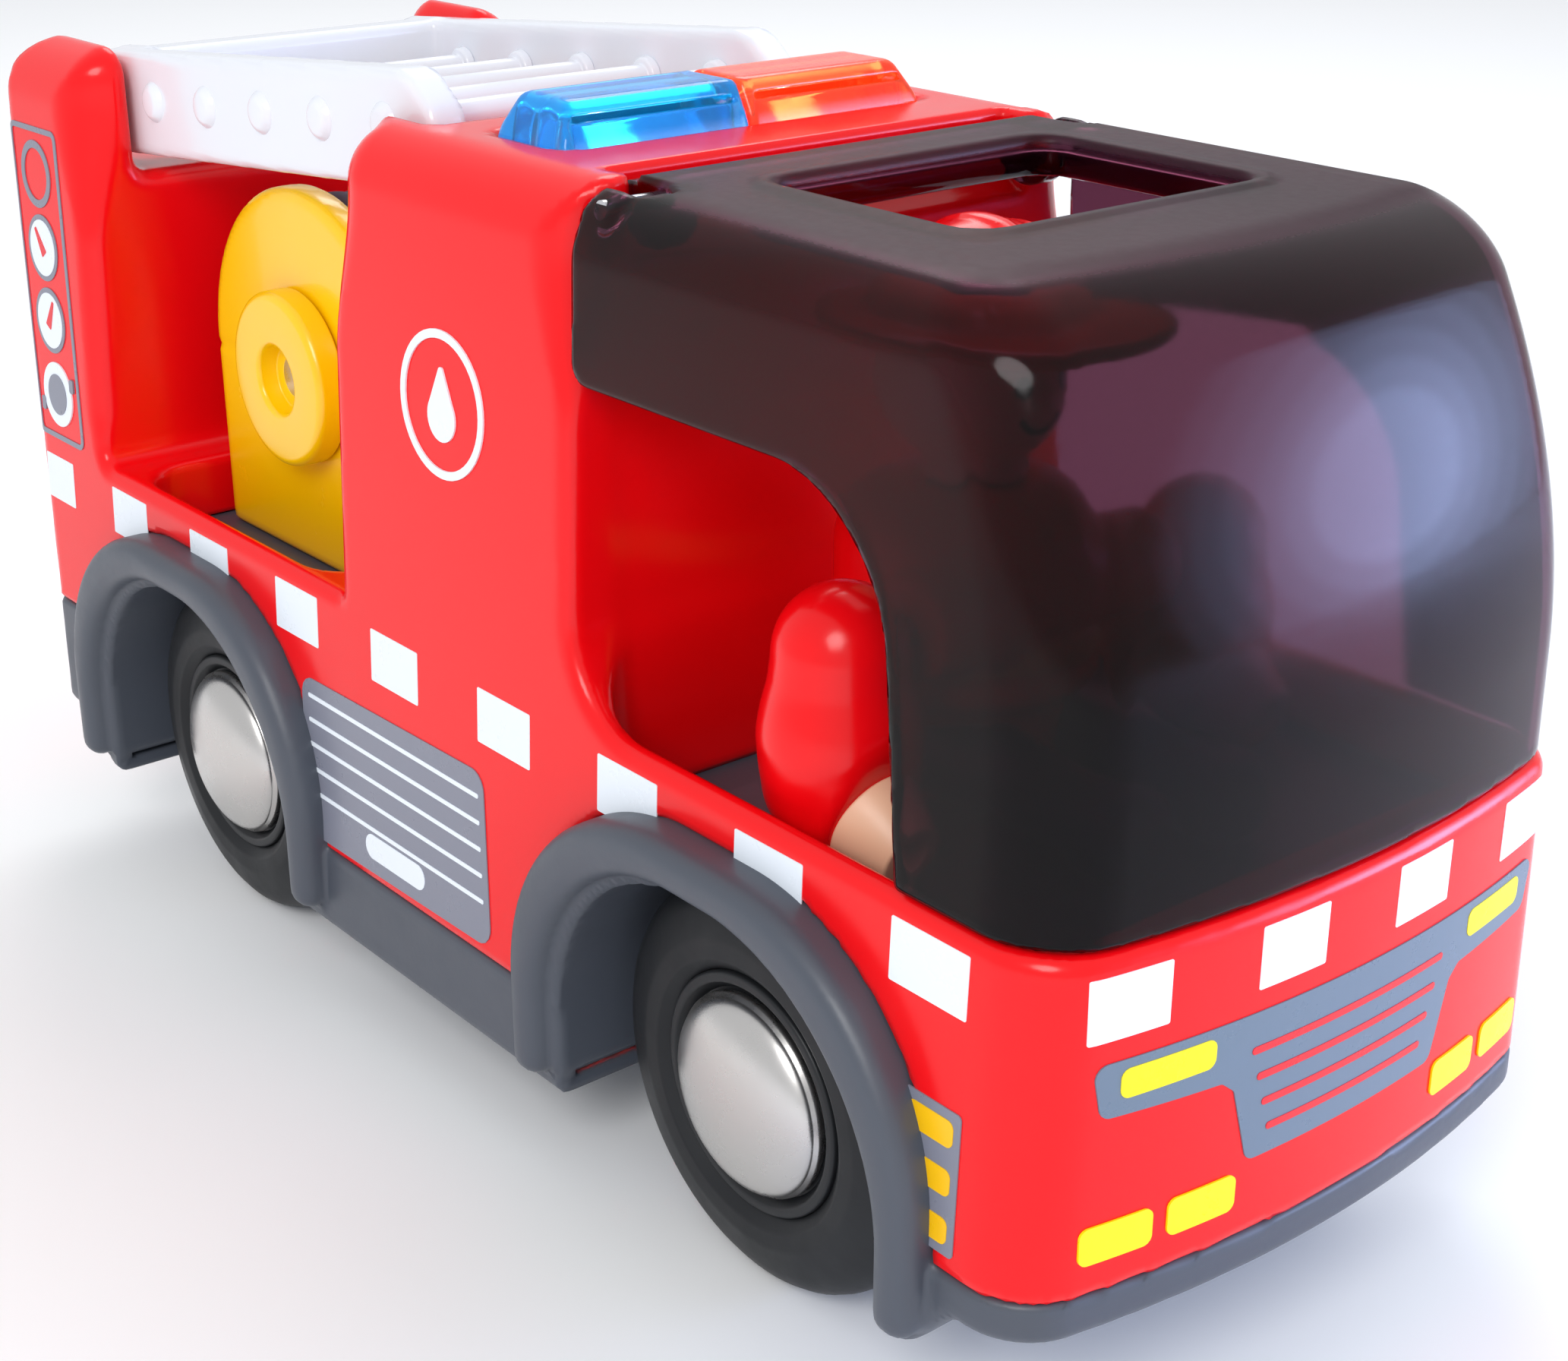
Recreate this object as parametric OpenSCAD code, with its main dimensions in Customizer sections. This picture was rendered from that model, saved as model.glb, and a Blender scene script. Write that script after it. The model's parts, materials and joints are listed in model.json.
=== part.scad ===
// Push-along toy fire truck: moulded body and chassis, hinged tinted cab canopy,
// push-button light bar, raising ladder, turning hose reel and a posable driver.
// +X is forward, +Y is the truck's left, +Z is up, and Z = 0 is the ground.

/* [Body] */
// Overall length of the moulded body
body_len = 239; // [230:1:250]
// Half width of the body at the belt line
belt_half_w = 43.2; // [42:0.1:45]
// Inward lean of the sides, millimetres per millimetre of height
side_lean = 0.044; // [0.02:0.002:0.06]
// Height of the belt line, the top of the sills
belt_z = 66.4; // [65:0.1:68]
// Height of the roof and of the rear horns
roof_z = 130; // [129:0.5:132]
// Height of the joint between the red body and the grey chassis
split_z = 26.3; // [25:0.1:28]
// Wall thickness of the moulded shells
wall = 2.4; // [2:0.1:2.8]
// Radius of the bowed front, seen from above
bow_r = 175; // [165:1:190]
// Radius of the vertical corners at the front
corner_r = 7.3; // [6:0.1:9]
// Radius of the vertical corners at the rear
rear_corner_r = 2; // [1:0.1:3]
// Radius of the long roof edges
roof_edge_r = 7.5; // [6:0.1:9]

/* [Wheels] */
// Distance of each axle from the middle of the truck
axle_x = 63.6; // [63:0.1:64]
// Outer radius of a tyre
tyre_r = 26.5; // [26:0.1:27]
// Width of a tyre
tyre_w = 15; // [13:0.5:16]
// Distance of a tyre's outer face from the centre plane
tyre_face_y = 40; // [39:0.1:41]
// Outer radius of the wheel core
core_r = 15.5; // [15:0.1:17]
// Radius of the domed hub cap
cap_r = 13; // [12:0.1:14]
// Radius of the steel axle
axle_r = 1.75; // [1.5:0.05:2]
// Radial clearance of every turning fit
fit = 0.06; // [0.04:0.01:0.08]

/* [Fenders] */
// Half width of a fender arch, outside
fender_half_w = 37.5; // [37:0.1:38]
// Height of the top of a fender
fender_top_z = 60.6; // [60:0.1:61.5]
// Corner radius of a fender, outside
fender_r = 30.5; // [29:0.1:32]
// Width of the fender rim seen from the side
fender_rim = 5.8; // [5:0.1:6.5]
// Distance of the fender's outer face from the centre plane
fender_y = 49; // [48:0.1:50]

/* [Roof gear] */
// Width of the light bar across the roof
bar_w = 57.4; // [56:0.1:58]
// Height of the light bar's top
bar_top_z = 135; // [134:0.1:136]
// Travel of the light bar when it is pushed
bar_travel = 2; // [1.5:0.1:2.5]
// Distance between the outer faces of the ladder rails
ladder_w = 60.8; // [60:0.1:61.5]
// Depth of a ladder rail
rail_h = 15.4; // [14:0.1:16]
// Thickness of a ladder rail
rail_t = 5.6; // [5:0.1:6]
// Tilt of the ladder at rest, in degrees
ladder_tilt = 4.9; // [4.5:0.1:5.2]
// Distance between ladder rungs
rung_pitch = 16.8; // [16:0.1:17]

/* [Hose reel] */
// Radius of the rounded top of a reel cheek
cheek_r = 27.3; // [26:0.1:28]
// Distance of a cheek's outer face from the centre plane
cheek_y = 26.6; // [26:0.1:28]
// Radius of a winding knob
knob_r = 13; // [12:0.1:14]
// Radius of the wound hose pack
hose_r = 25.5; // [24:0.1:26]

/* [Driver] */
// Radius of the driver's helmet
helmet_r = 14; // [13:0.1:14.5]
// Height of the driver's shoulder pivots
shoulder_z = 82.4; // [82:0.1:84]

/* [Hidden] */
$fn = 64;

eps = 0.01;
half_len = body_len / 2;
roof_half_w = belt_half_w - side_lean * (roof_z - belt_z);
split_half_w = belt_half_w + side_lean * (belt_z - split_z);

// Stations along the truck
rear_wall_x = -93.4;
block_rear_x = -19.5;
block_front_x = 33.9;
pit_z = 56.8;
skirt_z = 13.3;
nose_z = 20.7;
rear_split_z = 39.3;

// Roof gear stations
bar_x0 = 1.5;
bar_x1 = 16.5;
notch_half_w = 31.6;
notch_z = 110.8;
pivot_x = -105;
pivot_z = 120.2;
pivot_r = 2;
recess_x = -7.6;
recess_z = 118;
hinge_x = 36.9;
hinge_z = 127.2;
hinge_r = 1.2;
knuckle_r = 2.8;
lug_r = 5.5;
ear_y0 = 31.6;
ear_y1 = 35;
tongue_x = 29.6;
tongue_half_w = 31.2;
pocket_r = 8.1;

// Reel and driver stations
reel_x = -55.8;
reel_z = 86.4;
shaft_r = 3;
driver_x = 58.5;
sides = [-1, 1];

// Pits, chassis and screws
floor_t = 2.4;
screw_spots = [[-113.2, 30], [-113.2, -30], [0, 38.6], [0, -38.6], [112, 20], [112, -20]];
bay_pit = [-86.5, -26.5];
cab_pit = [34.1, 111];
pit_half_w = 40.2;
pit_r = 8;
arch_y = 39.6;
well_z = 53;
well_x = 46.4;
floor_plate = 1.8;
floor_lip = 0.7;
tunnel_y = 22;
leg_z = 16.5;
lip_y = split_half_w - wall + 0.6;
battery_x0 = -26;
battery_x1 = 26;
battery_half_w = 15.5;
head_h = 1.2;

// Canopy opening, light bar and battery box
sunroof_x = [46.1, 80.3];
sunroof_half_w = 22.4;
base_z = 124.4;
board_z = 106;
box_h = 14;
battery_len = 44.5;
battery_z = skirt_z + 8.4;

// Ladder, in its own plane
rail_half = rail_h / 2;
ladder_end = 95.3;
rung_u0 = 16.4;
rung_v = 0.5;
rung_r = 2;

// Driver's figure
arm_y = 29.5;
arm_x = 68.6;
sleeve_r = 9.4;
cuff_r = 7.2;
cuff_drop = 20;
cuff_x = 74.4;
cuff_z = 64;
band_z = 75;
hip_r = 12.2;
chest_r = 17;

function screw_plane(p) = abs(p[0]) > 50 ? nose_z : skirt_z;
function front_x(y) = half_len - y * y / (2 * bow_r);
function arc(cx, cy, r, from, to, n) =
  [for (i = [0 : n]) let (a = from + (to - from) * i / n) [cx + r * cos(a), cy + r * sin(a)]];

// Outline seen from above, set in from the outer wall by t
function plan_points(t) =
  let (
    w = split_half_w - t,
    rear = -half_len + t,
    r = corner_r - t,
    rear_r = max(rear_corner_r - t, 0.3),
    turn = asin((w - r) / bow_r),
    ye = w - r + r * sin(turn),
    cx = front_x(ye) - t - r * cos(turn)
  )
  concat(
    arc(rear + rear_r, -w + rear_r, rear_r, 180, 270, 8),
    arc(cx, -w + r, r, 270, 360 - turn, 8),
    [for (i = [-11 : 11]) let (y = (w - r) * i / 12) [front_x(y) - t, y]],
    arc(cx, w - r, r, turn, 90, 8),
    arc(rear + rear_r, w - rear_r, rear_r, 90, 180, 8)
  );

// Cross-section seen from the front, set in by t
function section_points(t) =
  let (
    top = roof_z - t,
    wb = split_half_w - t,
    wt = roof_half_w - t,
    r = roof_edge_r - t * 0.6
  )
  concat(
    [[-wb, split_z - t], [wb, split_z - t]],
    arc(wt - r + side_lean * r, top - r, r, 2, 90, 8),
    arc(-wt + r - side_lean * r, top - r, r, 90, 178, 8)
  );

module plan_block(t, z0, z1) {
  translate([0, 0, z0]) linear_extrude(z1 - z0) polygon(plan_points(t));
}

module along_y(half) {
  rotate([90, 0, 0]) linear_extrude(2 * half, center = true) children();
}

module envelope(t) {
  intersection() {
    plan_block(t, 0, roof_z);
    rotate([90, 0, 90]) linear_extrude(300, center = true) polygon(section_points(t));
  }
}

// Side profile of the red body: rear wall, bay, middle block with a swept foot, cab belt
module body_profile() {
  top_r = 6;
  foot_r = 3;
  sweep_r = 13;
  polygon(concat(
    [[-half_len, rear_split_z]],
    arc(-half_len + top_r, roof_z - top_r, top_r, 180, 90, 8),
    arc(rear_wall_x - top_r / 2, roof_z - top_r / 2, top_r / 2, 90, 0, 5),
    arc(rear_wall_x + foot_r, belt_z + foot_r, foot_r, 180, 270, 5),
    [[block_rear_x, belt_z]],
    arc(block_rear_x + 1.5, roof_z - 1.5, 1.5, 180, 90, 4),
    [[block_front_x, roof_z]],
    arc(block_front_x + sweep_r, belt_z + sweep_r, sweep_r, 180, 270, 10),
    [[half_len, belt_z], [half_len, split_z], [-axle_x, split_z], [-axle_x, rear_split_z]]
  ));
}

// Hollow inside of the red body
module body_hollow() {
  t = wall;
  along_y(60) union() {
    polygon([
      [-half_len + t, 0], [-half_len + t, notch_z - t], [rear_wall_x - t, notch_z - t],
      [rear_wall_x - t, belt_z - t], [block_rear_x + t, belt_z - t], [block_rear_x + t, recess_z - t],
      [recess_x + t, recess_z - t], [recess_x + t, roof_z - t], [bar_x1 + 4, roof_z - t],
      [bar_x1 + 4, hinge_z - pocket_r - t], [block_front_x - t, hinge_z - pocket_r - t],
      [block_front_x - t, belt_z - t], [half_len - t, belt_z - t], [half_len - t, 0]
    ]);
  }
}

// Rounded rectangle block
module pad(x0, x1, half_y, r, z0, z1) {
  translate([0, 0, z0]) linear_extrude(z1 - z0) polygon(concat(
    arc(x0 + r, -half_y + r, r, 180, 270, 6),
    arc(x1 - r, -half_y + r, r, 270, 360, 6),
    arc(x1 - r, half_y - r, r, 0, 90, 6),
    arc(x0 + r, half_y - r, r, 90, 180, 6)
  ));
}

// Arch outline in side view, centred on the axle, grown outward by g
module arch(g, bottom) {
  w = fender_half_w - fender_rim + g;
  top = fender_top_z - fender_rim + g;
  r = fender_r - 2 + g * 0.4;
  polygon(concat(
    [[w, bottom]],
    arc(w - r, top - r, r, 0, 90, 12),
    arc(-w + r, top - r, r, 90, 180, 12),
    [[-w, bottom]]
  ));
}

module at_axles() {
  for (x = [-axle_x, axle_x]) translate([x, 0, 0]) children();
}

// Solid of the cab canopy's outside, set in by t: sides, roof and a windscreen leaning back
module cab_volume(t) {
  base = belt_z + 0.3;
  r0 = bow_r - 0.5 - t;
  roof_r = 17;
  intersection() {
    envelope(t);
    translate([half_len - bow_r, 0, 0]) rotate_extrude($fn = 200) polygon(concat(
      [[0, base - t * 4], [r0, base - t * 4], [r0, 84], [r0 - 1.4, 96]],
      arc(r0 - 18.4, roof_z - t - roof_r, roof_r, 12, 90, 8),
      [[0, roof_z - t]]
    ));
  }
}

module y_rod(x, z, r, y0, y1) {
  translate([x, y1, z]) rotate([90, 0, 0]) cylinder(r = r, h = y1 - y0);
}

// Pillar for a chassis screw, joined to the nearest wall by a rib
module screw_pillar(p) {
  top_z = pit_z - 2.6;
  rib = 4.4;
  rib_z = (p[0] < -50 ? rear_split_z : split_z) + 1;
  turn = abs(p[0]) < 50 ? sign(p[1]) * 90 : p[0] > 0 ? 0 : 180;
  translate([p[0], p[1], screw_plane(p) + floor_t])
    cylinder(r = 3.4, h = top_z - screw_plane(p) - floor_t);
  translate([p[0], p[1], rib_z]) rotate([0, 0, turn])
    translate([0, -1.2, 0]) cube([rib, 2.4, top_z - rib_z]);
}

// Lower part of the cab pit behind the driver, grown outward by g
module foot_well(g, z0, z1) {
  intersection() {
    pad(cab_pit[0] - g, cab_pit[1], pit_half_w + g, pit_r + g, z0, z1);
    translate([0, -60, 0]) cube([well_x, 120, 100]);
  }
}

module body_shell() {
  color("red") difference() {
    union() {
      difference() {
        intersection() {
          envelope(0);
          along_y(60) body_profile();
        }
        intersection() {
          envelope(wall);
          body_hollow();
        }
        // Seat and turning circle for the canopy's tongue
        y_rod(hinge_x, hinge_z, pocket_r, -ear_y0, ear_y0);
      }
      // Hinge ears
      for (s = sides) intersection() {
        translate([block_front_x - 4, s > 0 ? ear_y0 : -ear_y1, 0]) cube([12, ear_y1 - ear_y0, roof_z]);
        union() {
          y_rod(hinge_x, hinge_z, knuckle_r, -60, 60);
          translate([block_front_x - 4, -60, hinge_z - knuckle_r])
            cube([hinge_x - block_front_x + 4, 120, 2 * knuckle_r]);
        }
      }
      // Walls of the pits
      pad(bay_pit[0] - 2, bay_pit[1] + 2, pit_half_w + 2, pit_r + 2, pit_z, belt_z - wall + eps);
      pad(cab_pit[0] - 2, cab_pit[1] + 2, pit_half_w + 2, pit_r + 2, pit_z, belt_z - wall + eps);
      foot_well(2, well_z, pit_z + eps);
      for (p = screw_spots) screw_pillar(p);
    }
    for (p = screw_spots) translate([p[0], p[1], 0]) cylinder(r = 1, h = screw_plane(p) + 10);
    // Wheel arches: behind the fenders, beside the pits, and clear of the tunnels
    at_axles() for (s = sides) {
      side_slab(s, arch_y, 60) intersection() {
        arch(fender_rim + 0.05, 0);
        translate([-60, 0]) square([120, well_z - 1]);
      }
      side_slab(s, pit_half_w + 2.2, 60) arch(fender_rim + 0.05, 0);
      side_slab(s, arch_y, 60) arch(0.15, 0);
    }
    // Pits in the bay and in the cab
    pad(bay_pit[0], bay_pit[1], pit_half_w, pit_r, pit_z - 1, belt_z + 1);
    pad(cab_pit[0], cab_pit[1], pit_half_w, pit_r, pit_z - 1, belt_z + 14);
    foot_well(0, well_z - 1, pit_z);
    // Notch for the ladder between the rear horns
    translate([-half_len - 1, -notch_half_w, notch_z])
      cube([rear_wall_x + half_len + 2, 2 * notch_half_w, roof_z]);
    // Recess in the roof for the ladder's front end
    translate([block_rear_x - 1, -notch_half_w, recess_z])
      cube([recess_x - block_rear_x + 1, 2 * notch_half_w, roof_z]);
    // Well for the light bar
    translate([bar_x0 - 0.6, -bar_w / 2 - 0.6, roof_z - 10])
      cube([bar_x1 - bar_x0 + 1.2, bar_w + 1.2, 20]);
    // Ladder pivots and hinge pins
    y_rod(pivot_x, pivot_z, pivot_r, -notch_half_w - 6, notch_half_w + 6);
    y_rod(hinge_x, hinge_z, hinge_r, -ear_y1 - 1, ear_y1 + 1);
  }
}

// Space under the rising front or rear overhang, raised by lift
module under_overhang(side, lift) {
  flat_x = half_len - 14;
  start_x = axle_x + 32;
  mirror([side > 0 ? 0 : 1, 0, 0]) along_y(60) polygon([
    [start_x - lift, -1], [half_len + 1, -1], [half_len + 1, nose_z + lift], [flat_x, nose_z + lift],
    [start_x, skirt_z + 3 + lift], [start_x - lift, skirt_z + 3 + lift]
  ]);
}

module chassis_outline() {
  difference() {
    plan_block(0, skirt_z, split_z);
    for (s = sides) under_overhang(s, 0);
  }
  // Raised rear end
  intersection() {
    plan_block(0, split_z - eps, rear_split_z);
    translate([-half_len, -60, 0]) cube([half_len - axle_x, 120, 60]);
  }
}

// Slab on one side of the truck, from y0 to y1 outward, cut from a side-view outline
module side_slab(side, y0, y1) {
  translate([0, side > 0 ? y1 : -y0, 0]) rotate([90, 0, 0]) linear_extrude(y1 - y0) children();
}

// Grey chassis: floor plate, skirts, fender arches and axle bearings
module chassis() {
  color("dimgray") {
    difference() {
      union() {
        difference() {
          chassis_outline();
          // Inside of the skirts
          difference() {
            union() {
              plan_block(wall, skirt_z + floor_t, split_z + 1);
              intersection() {
                plan_block(wall, split_z, 60);
                translate([-half_len, -60, 0]) cube([half_len - axle_x, 120, 60]);
              }
            }
            for (s = sides) under_overhang(s, floor_t);
          }
        }
        // Wheel tunnels with their end walls
        at_axles() for (s = sides) {
          side_slab(s, tunnel_y - 1.6, tunnel_y) arch(0, skirt_z);
          side_slab(s, tunnel_y, lip_y) arch(0, skirt_z);
          side_slab(s, lip_y, lip_y + 1.6) arch(0, leg_z);
        }
        // Fender lips
        at_axles() for (s = sides)
          side_slab(s, lip_y, fender_y) difference() {
            arch(fender_rim, leg_z);
            arch(0, 0);
          }
        // Axle bearing blocks
        at_axles() for (s = sides)
          side_slab(s, tunnel_y - 10, tunnel_y - 1) translate([-5, skirt_z])
            square([10, tyre_r - skirt_z + 5]);
      }
      // Open arches
      at_axles() for (s = sides) side_slab(s, tunnel_y, 70) arch(-1.2, -1);
      // Axle bores
      at_axles() y_rod(0, tyre_r, axle_r + fit, -60, 60);
      // Screw holes with counterbores
      for (p = screw_spots) translate([p[0], p[1], screw_plane(p)]) {
        translate([0, 0, -5]) cylinder(r = 1, h = 20);
        translate([0, 0, -5]) cylinder(r = 2.6, h = 5 + head_h);
      }
      // Battery opening in the floor
      translate([battery_x0 - 1, -battery_half_w - 1, 0])
        cube([battery_x1 - battery_x0 + 2, 2 * battery_half_w + 2, skirt_z + 6]);
    }
  }
}

module bay_floor() {
  color("dimgray") pad(bay_pit[0] - 2, bay_pit[1] + 2, pit_half_w + floor_lip, pit_r,
    pit_z - floor_plate, pit_z);
}

// Two levels joined by a riser: a foot well behind the driver and a raised seat floor
module cab_floor() {
  riser = 1.4;
  color("dimgray") {
    foot_well(floor_lip, well_z - floor_plate, well_z);
    intersection() {
      pad(cab_pit[0] - 2, cab_pit[1] + 2, pit_half_w + floor_lip, pit_r, well_z - 1, pit_z);
      translate([well_x - eps, -60, 0]) union() {
        cube([riser, 120, 100]);
        translate([0, 0, pit_z - floor_plate]) cube([100, 120, 20]);
      }
    }
  }
}

module battery_door() {
  color("dimgray") difference() {
    translate([battery_x0, -battery_half_w, skirt_z])
      cube([battery_x1 - battery_x0, 2 * battery_half_w, 2]);
    translate([battery_x1 - 4, 0, skirt_z - 1]) {
      cylinder(r = 1, h = 9);
      cylinder(r = 2.6, h = 1 + head_h);
    }
  }
}

// Screw with a domed cross head, its head's underside at z0 + head_h
module screw(z0, length) {
  translate([0, 0, z0 + head_h / 2]) cylinder(r = 1, h = length + head_h / 2);
  translate([0, 0, z0]) difference() {
    cylinder(r = 2.4, h = head_h);
    cube([2.8, 0.6, 1], center = true);
    cube([0.6, 2.8, 1], center = true);
  }
}

module chassis_screws() {
  color("silver") {
    for (p = screw_spots) translate([p[0], p[1], 0]) screw(screw_plane(p), 8);
    translate([battery_x1 - 4, 0, 0]) screw(skirt_z, 1.6);
  }
}

// Wheel parts, for the right (-1) or left (+1) side
module wheel_at(x, side) {
  translate([x, 0, tyre_r]) rotate([side > 0 ? -90 : 90, 0, 0]) children();
}

module tyre(x, side) {
  shoulder = 5;
  color([0.13, 0.13, 0.14]) wheel_at(x, side) translate([0, 0, tyre_face_y - tyre_w])
    rotate_extrude($fn = 96) polygon(concat(
      [[core_r, 0.6], [core_r, tyre_w - 0.6], [core_r + 0.8, tyre_w]],
      arc(tyre_r - shoulder, tyre_w - shoulder, shoulder, 90, 0, 8),
      arc(tyre_r - 2, 2, 2, 0, -90, 4)
    ));
}

module core(x, side) {
  color([0.16, 0.16, 0.17]) wheel_at(x, side) difference() {
    translate([0, 0, tyre_face_y - tyre_w + 0.6]) cylinder(r = core_r, h = tyre_w - 1.2, $fn = 96);
    translate([0, 0, tyre_face_y - 2]) cylinder(r = cap_r + 0.2, h = 5);
    translate([0, 0, 0]) cylinder(r = axle_r, h = tyre_face_y - 3);
    translate([0, 0, tyre_face_y - tyre_w]) rotate_extrude() translate([4.5, 0]) square([8, 6]);
  }
}

// Domed cap: a slice of a sphere on a short spigot
module hub_cap(x, side) {
  rise = 4;
  dome = (cap_r * cap_r + rise * rise) / (2 * rise);
  color("silver") wheel_at(x, side) translate([0, 0, tyre_face_y - 2]) {
    cylinder(r = cap_r, h = 1.8, $fn = 96);
    intersection() {
      translate([0, 0, 1.7 + rise - dome]) sphere(r = dome, $fn = 128);
      translate([0, 0, 1.7]) cylinder(r = cap_r, h = rise + 1, $fn = 96);
    }
  }
}

module axle(x) {
  color("gray") y_rod(x, tyre_r, axle_r, -tyre_face_y + 3.5, tyre_face_y - 3.5);
}

module canopy() {
  t = 2;
  color([0.2, 0.12, 0.16, 0.6]) difference() {
    union() {
      intersection() {
        difference() {
          cab_volume(0);
          cab_volume(t);
        }
        union() {
          translate([hinge_x, -60, 0]) cube([120, 120, 140]);
          translate([block_front_x + 0.3, -60, 0]) cube([20, 120, hinge_z]);
          translate([tongue_x, -tongue_half_w, hinge_z - 1]) cube([20, 2 * tongue_half_w, 20]);
          y_rod(hinge_x, hinge_z, knuckle_r - eps, -60, 60);
        }
      }
      // Hinge knuckles
      for (s = sides) {
        side_slab(s, tongue_half_w - 3.6, tongue_half_w) intersection() {
          translate([hinge_x, hinge_z]) circle(lug_r);
          translate([0, 60]) square([100, roof_z - 61]);
        }
        intersection() {
          side_slab(s, ear_y1 + 0.4, ear_y1 + 4) translate([hinge_x, hinge_z]) circle(knuckle_r - 0.02);
          envelope(0.02);
        }
      }
      // Deep rim of the sunroof
      pad(sunroof_x[0] - 2, sunroof_x[1] + 2, sunroof_half_w + 2, 5.5, roof_z - 5, roof_z - t / 2);
    }
    pad(sunroof_x[0], sunroof_x[1], sunroof_half_w, 4, roof_z - 20, roof_z + 1);
    // Cut-outs around the hinge ears
    for (s = sides)
      side_slab(s, tongue_half_w, ear_y1 + 0.4) polygon([
        [0, 140], [0, hinge_z - 4], [hinge_x + 4.2, hinge_z - 4], [hinge_x + 4.2, 140]
      ]);
    y_rod(hinge_x, hinge_z, hinge_r + fit, -ear_y1 - 3.4, ear_y1 + 3.4);
    // Side windows
    along_y(60) polygon(concat(
      [[0, 0], [92.1, 0], [92.1, belt_z + 0.3], [89.9, 84]],
      arc(73.2, 91.6, 16.4, -5, 90, 10),
      [[block_front_x + 3, 107.2]],
      arc(block_front_x + 3, 110.2, 3, 270, 180, 4),
      [[0, 110.2]]
    ));
  }
}

module canopy_pins() {
  color("silver") for (s = sides)
    side_slab(s, tongue_half_w - 3.2, ear_y1 + 3) translate([hinge_x, hinge_z]) circle(hinge_r);
}

// Light bar: carrier plate, two lenses, lamps, spring and switch

module light_base() {
  color("white") {
    difference() {
      translate([bar_x0 - 1.4, -bar_w / 2 - 1.4, base_z]) cube([bar_x1 - bar_x0 + 2.8, bar_w + 2.8, 2]);
      for (s = sides) translate([9, s * 15, 0]) cylinder(r = 4, h = 200);
    }
    translate([9, 0, board_z + 9]) cylinder(r = 2.5, h = base_z - board_z - 9 + eps);
  }
}

module lens_section(t) {
  z0 = base_z + 2;
  polygon([
    [bar_x0 + t, z0 - t], [bar_x1 - t, z0 - t], [bar_x1 - t, roof_z], [bar_x1 - 2.6 - t, bar_top_z - t],
    [bar_x0 + 2 + t, bar_top_z - t], [bar_x0 + t, roof_z]
  ]);
}

module lens(side) {
  t = 1.6;
  w = bar_w / 2;
  z0 = base_z + 2;
  difference() {
    intersection() {
      side_slab(side, 0.1, w) lens_section(0);
      rotate([90, 0, 90]) linear_extrude(100, center = true) polygon([
        [-w, z0], [w, z0], [w, roof_z], [w - 2.4, bar_top_z], [-w + 2.4, bar_top_z], [-w, roof_z]
      ]);
    }
    side_slab(side, 0.1 + t, w - t - 1.2) lens_section(t);
  }
}

module lens_blue() {
  color([0.1, 0.4, 0.9, 0.6]) lens(-1);
}

module lens_red() {
  color([0.9, 0.2, 0.1, 0.6]) lens(1);
}

module button_spring() {
  color("silver") translate([9, 0, board_z + 1.6]) difference() {
    cylinder(r = 5.2, h = base_z - board_z - 1.6);
    translate([0, 0, -1]) cylinder(r = 4.4, h = 30);
  }
}

module light_board() {
  color("green") translate([-3, -26, board_z]) cube([23, 52, 1.6]);
}

module light_lamps() {
  color("white") for (s = sides) translate([9, s * 15, board_z + 1.6]) {
    cylinder(r = 3, h = 12);
    translate([0, 0, 12]) sphere(r = 2.99);
  }
}

module siren_switch() {
  color("black") translate([9, 0, board_z + 1.6]) {
    translate([-3, -3, 0]) cube([6, 6, 3.6]);
    cylinder(r = 1.6, h = 5.2);
  }
}

module main_board() {
  z0 = skirt_z + floor_t + box_h;
  color("green") translate([4, -24, z0]) cube([1.6, 48, board_z - z0]);
}

module speaker() {
  color("black") translate([-11, 0, skirt_z + floor_t + box_h]) {
    cylinder(r = 14, h = 3);
    cylinder(r = 8, h = 8);
  }
}

module battery_box() {
  z0 = skirt_z + floor_t;
  color("dimgray") difference() {
    translate([battery_x0 - 3, -battery_half_w - 3, z0])
      cube([battery_x1 - battery_x0 + 6, 2 * battery_half_w + 6, box_h]);
    translate([battery_x0 + 1.5, -battery_half_w + 1.5, z0 - 1])
      cube([battery_x1 - battery_x0 - 3, 2 * battery_half_w - 3, box_h - 1]);
  }
}

module battery(side) {
  tip = 0.9;
  color("orange") translate([-battery_len / 2, side * 6, battery_z]) rotate([0, 90, 0]) {
    cylinder(r = 5.2, h = battery_len - tip);
    cylinder(r = 1.9, h = battery_len);
  }
}

module battery_contacts() {
  blade = battery_x1 - 1.5 - battery_len / 2;
  color("silver") {
    translate([-battery_len / 2 - blade, -12, battery_z - 4]) cube([blade, 24, 8]);
    for (s = sides)
      translate([battery_len / 2, s * 6 - 5, battery_z - 4]) cube([blade, 10, 8]);
  }
}

// Ladder in its own plane: u runs forward from the pivot, v across the rails
module on_ladder() {
  translate([pivot_x, 0, pivot_z]) rotate([0, -ladder_tilt, 0]) children();
}

module rail_outline() {
  polygon(concat(
    arc(0, 0, rail_half, 90, 270, 16),
    [[ladder_end, -rail_half], [ladder_end, 2.5], [ladder_end - 6, rail_half]]
  ));
}

module ladder_frame() {
  w = ladder_w / 2;
  color("white") on_ladder() difference() {
    union() {
      for (s = sides) side_slab(s, w - rail_t, w) rail_outline();
      translate([-1, -w + rail_t - 1, -rail_half + 0.6]) cube([9.4, 2 * (w - rail_t) + 2, rail_h - 0.6]);
    }
    rotate([90, 0, 0]) cylinder(r = pivot_r + fit, h = 80, center = true);
    for (i = [0 : 4]) translate([rung_u0 + i * rung_pitch, 0, rung_v]) rotate([90, 0, 0])
      cylinder(r = rung_r, h = 80, center = true);
  }
}

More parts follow.
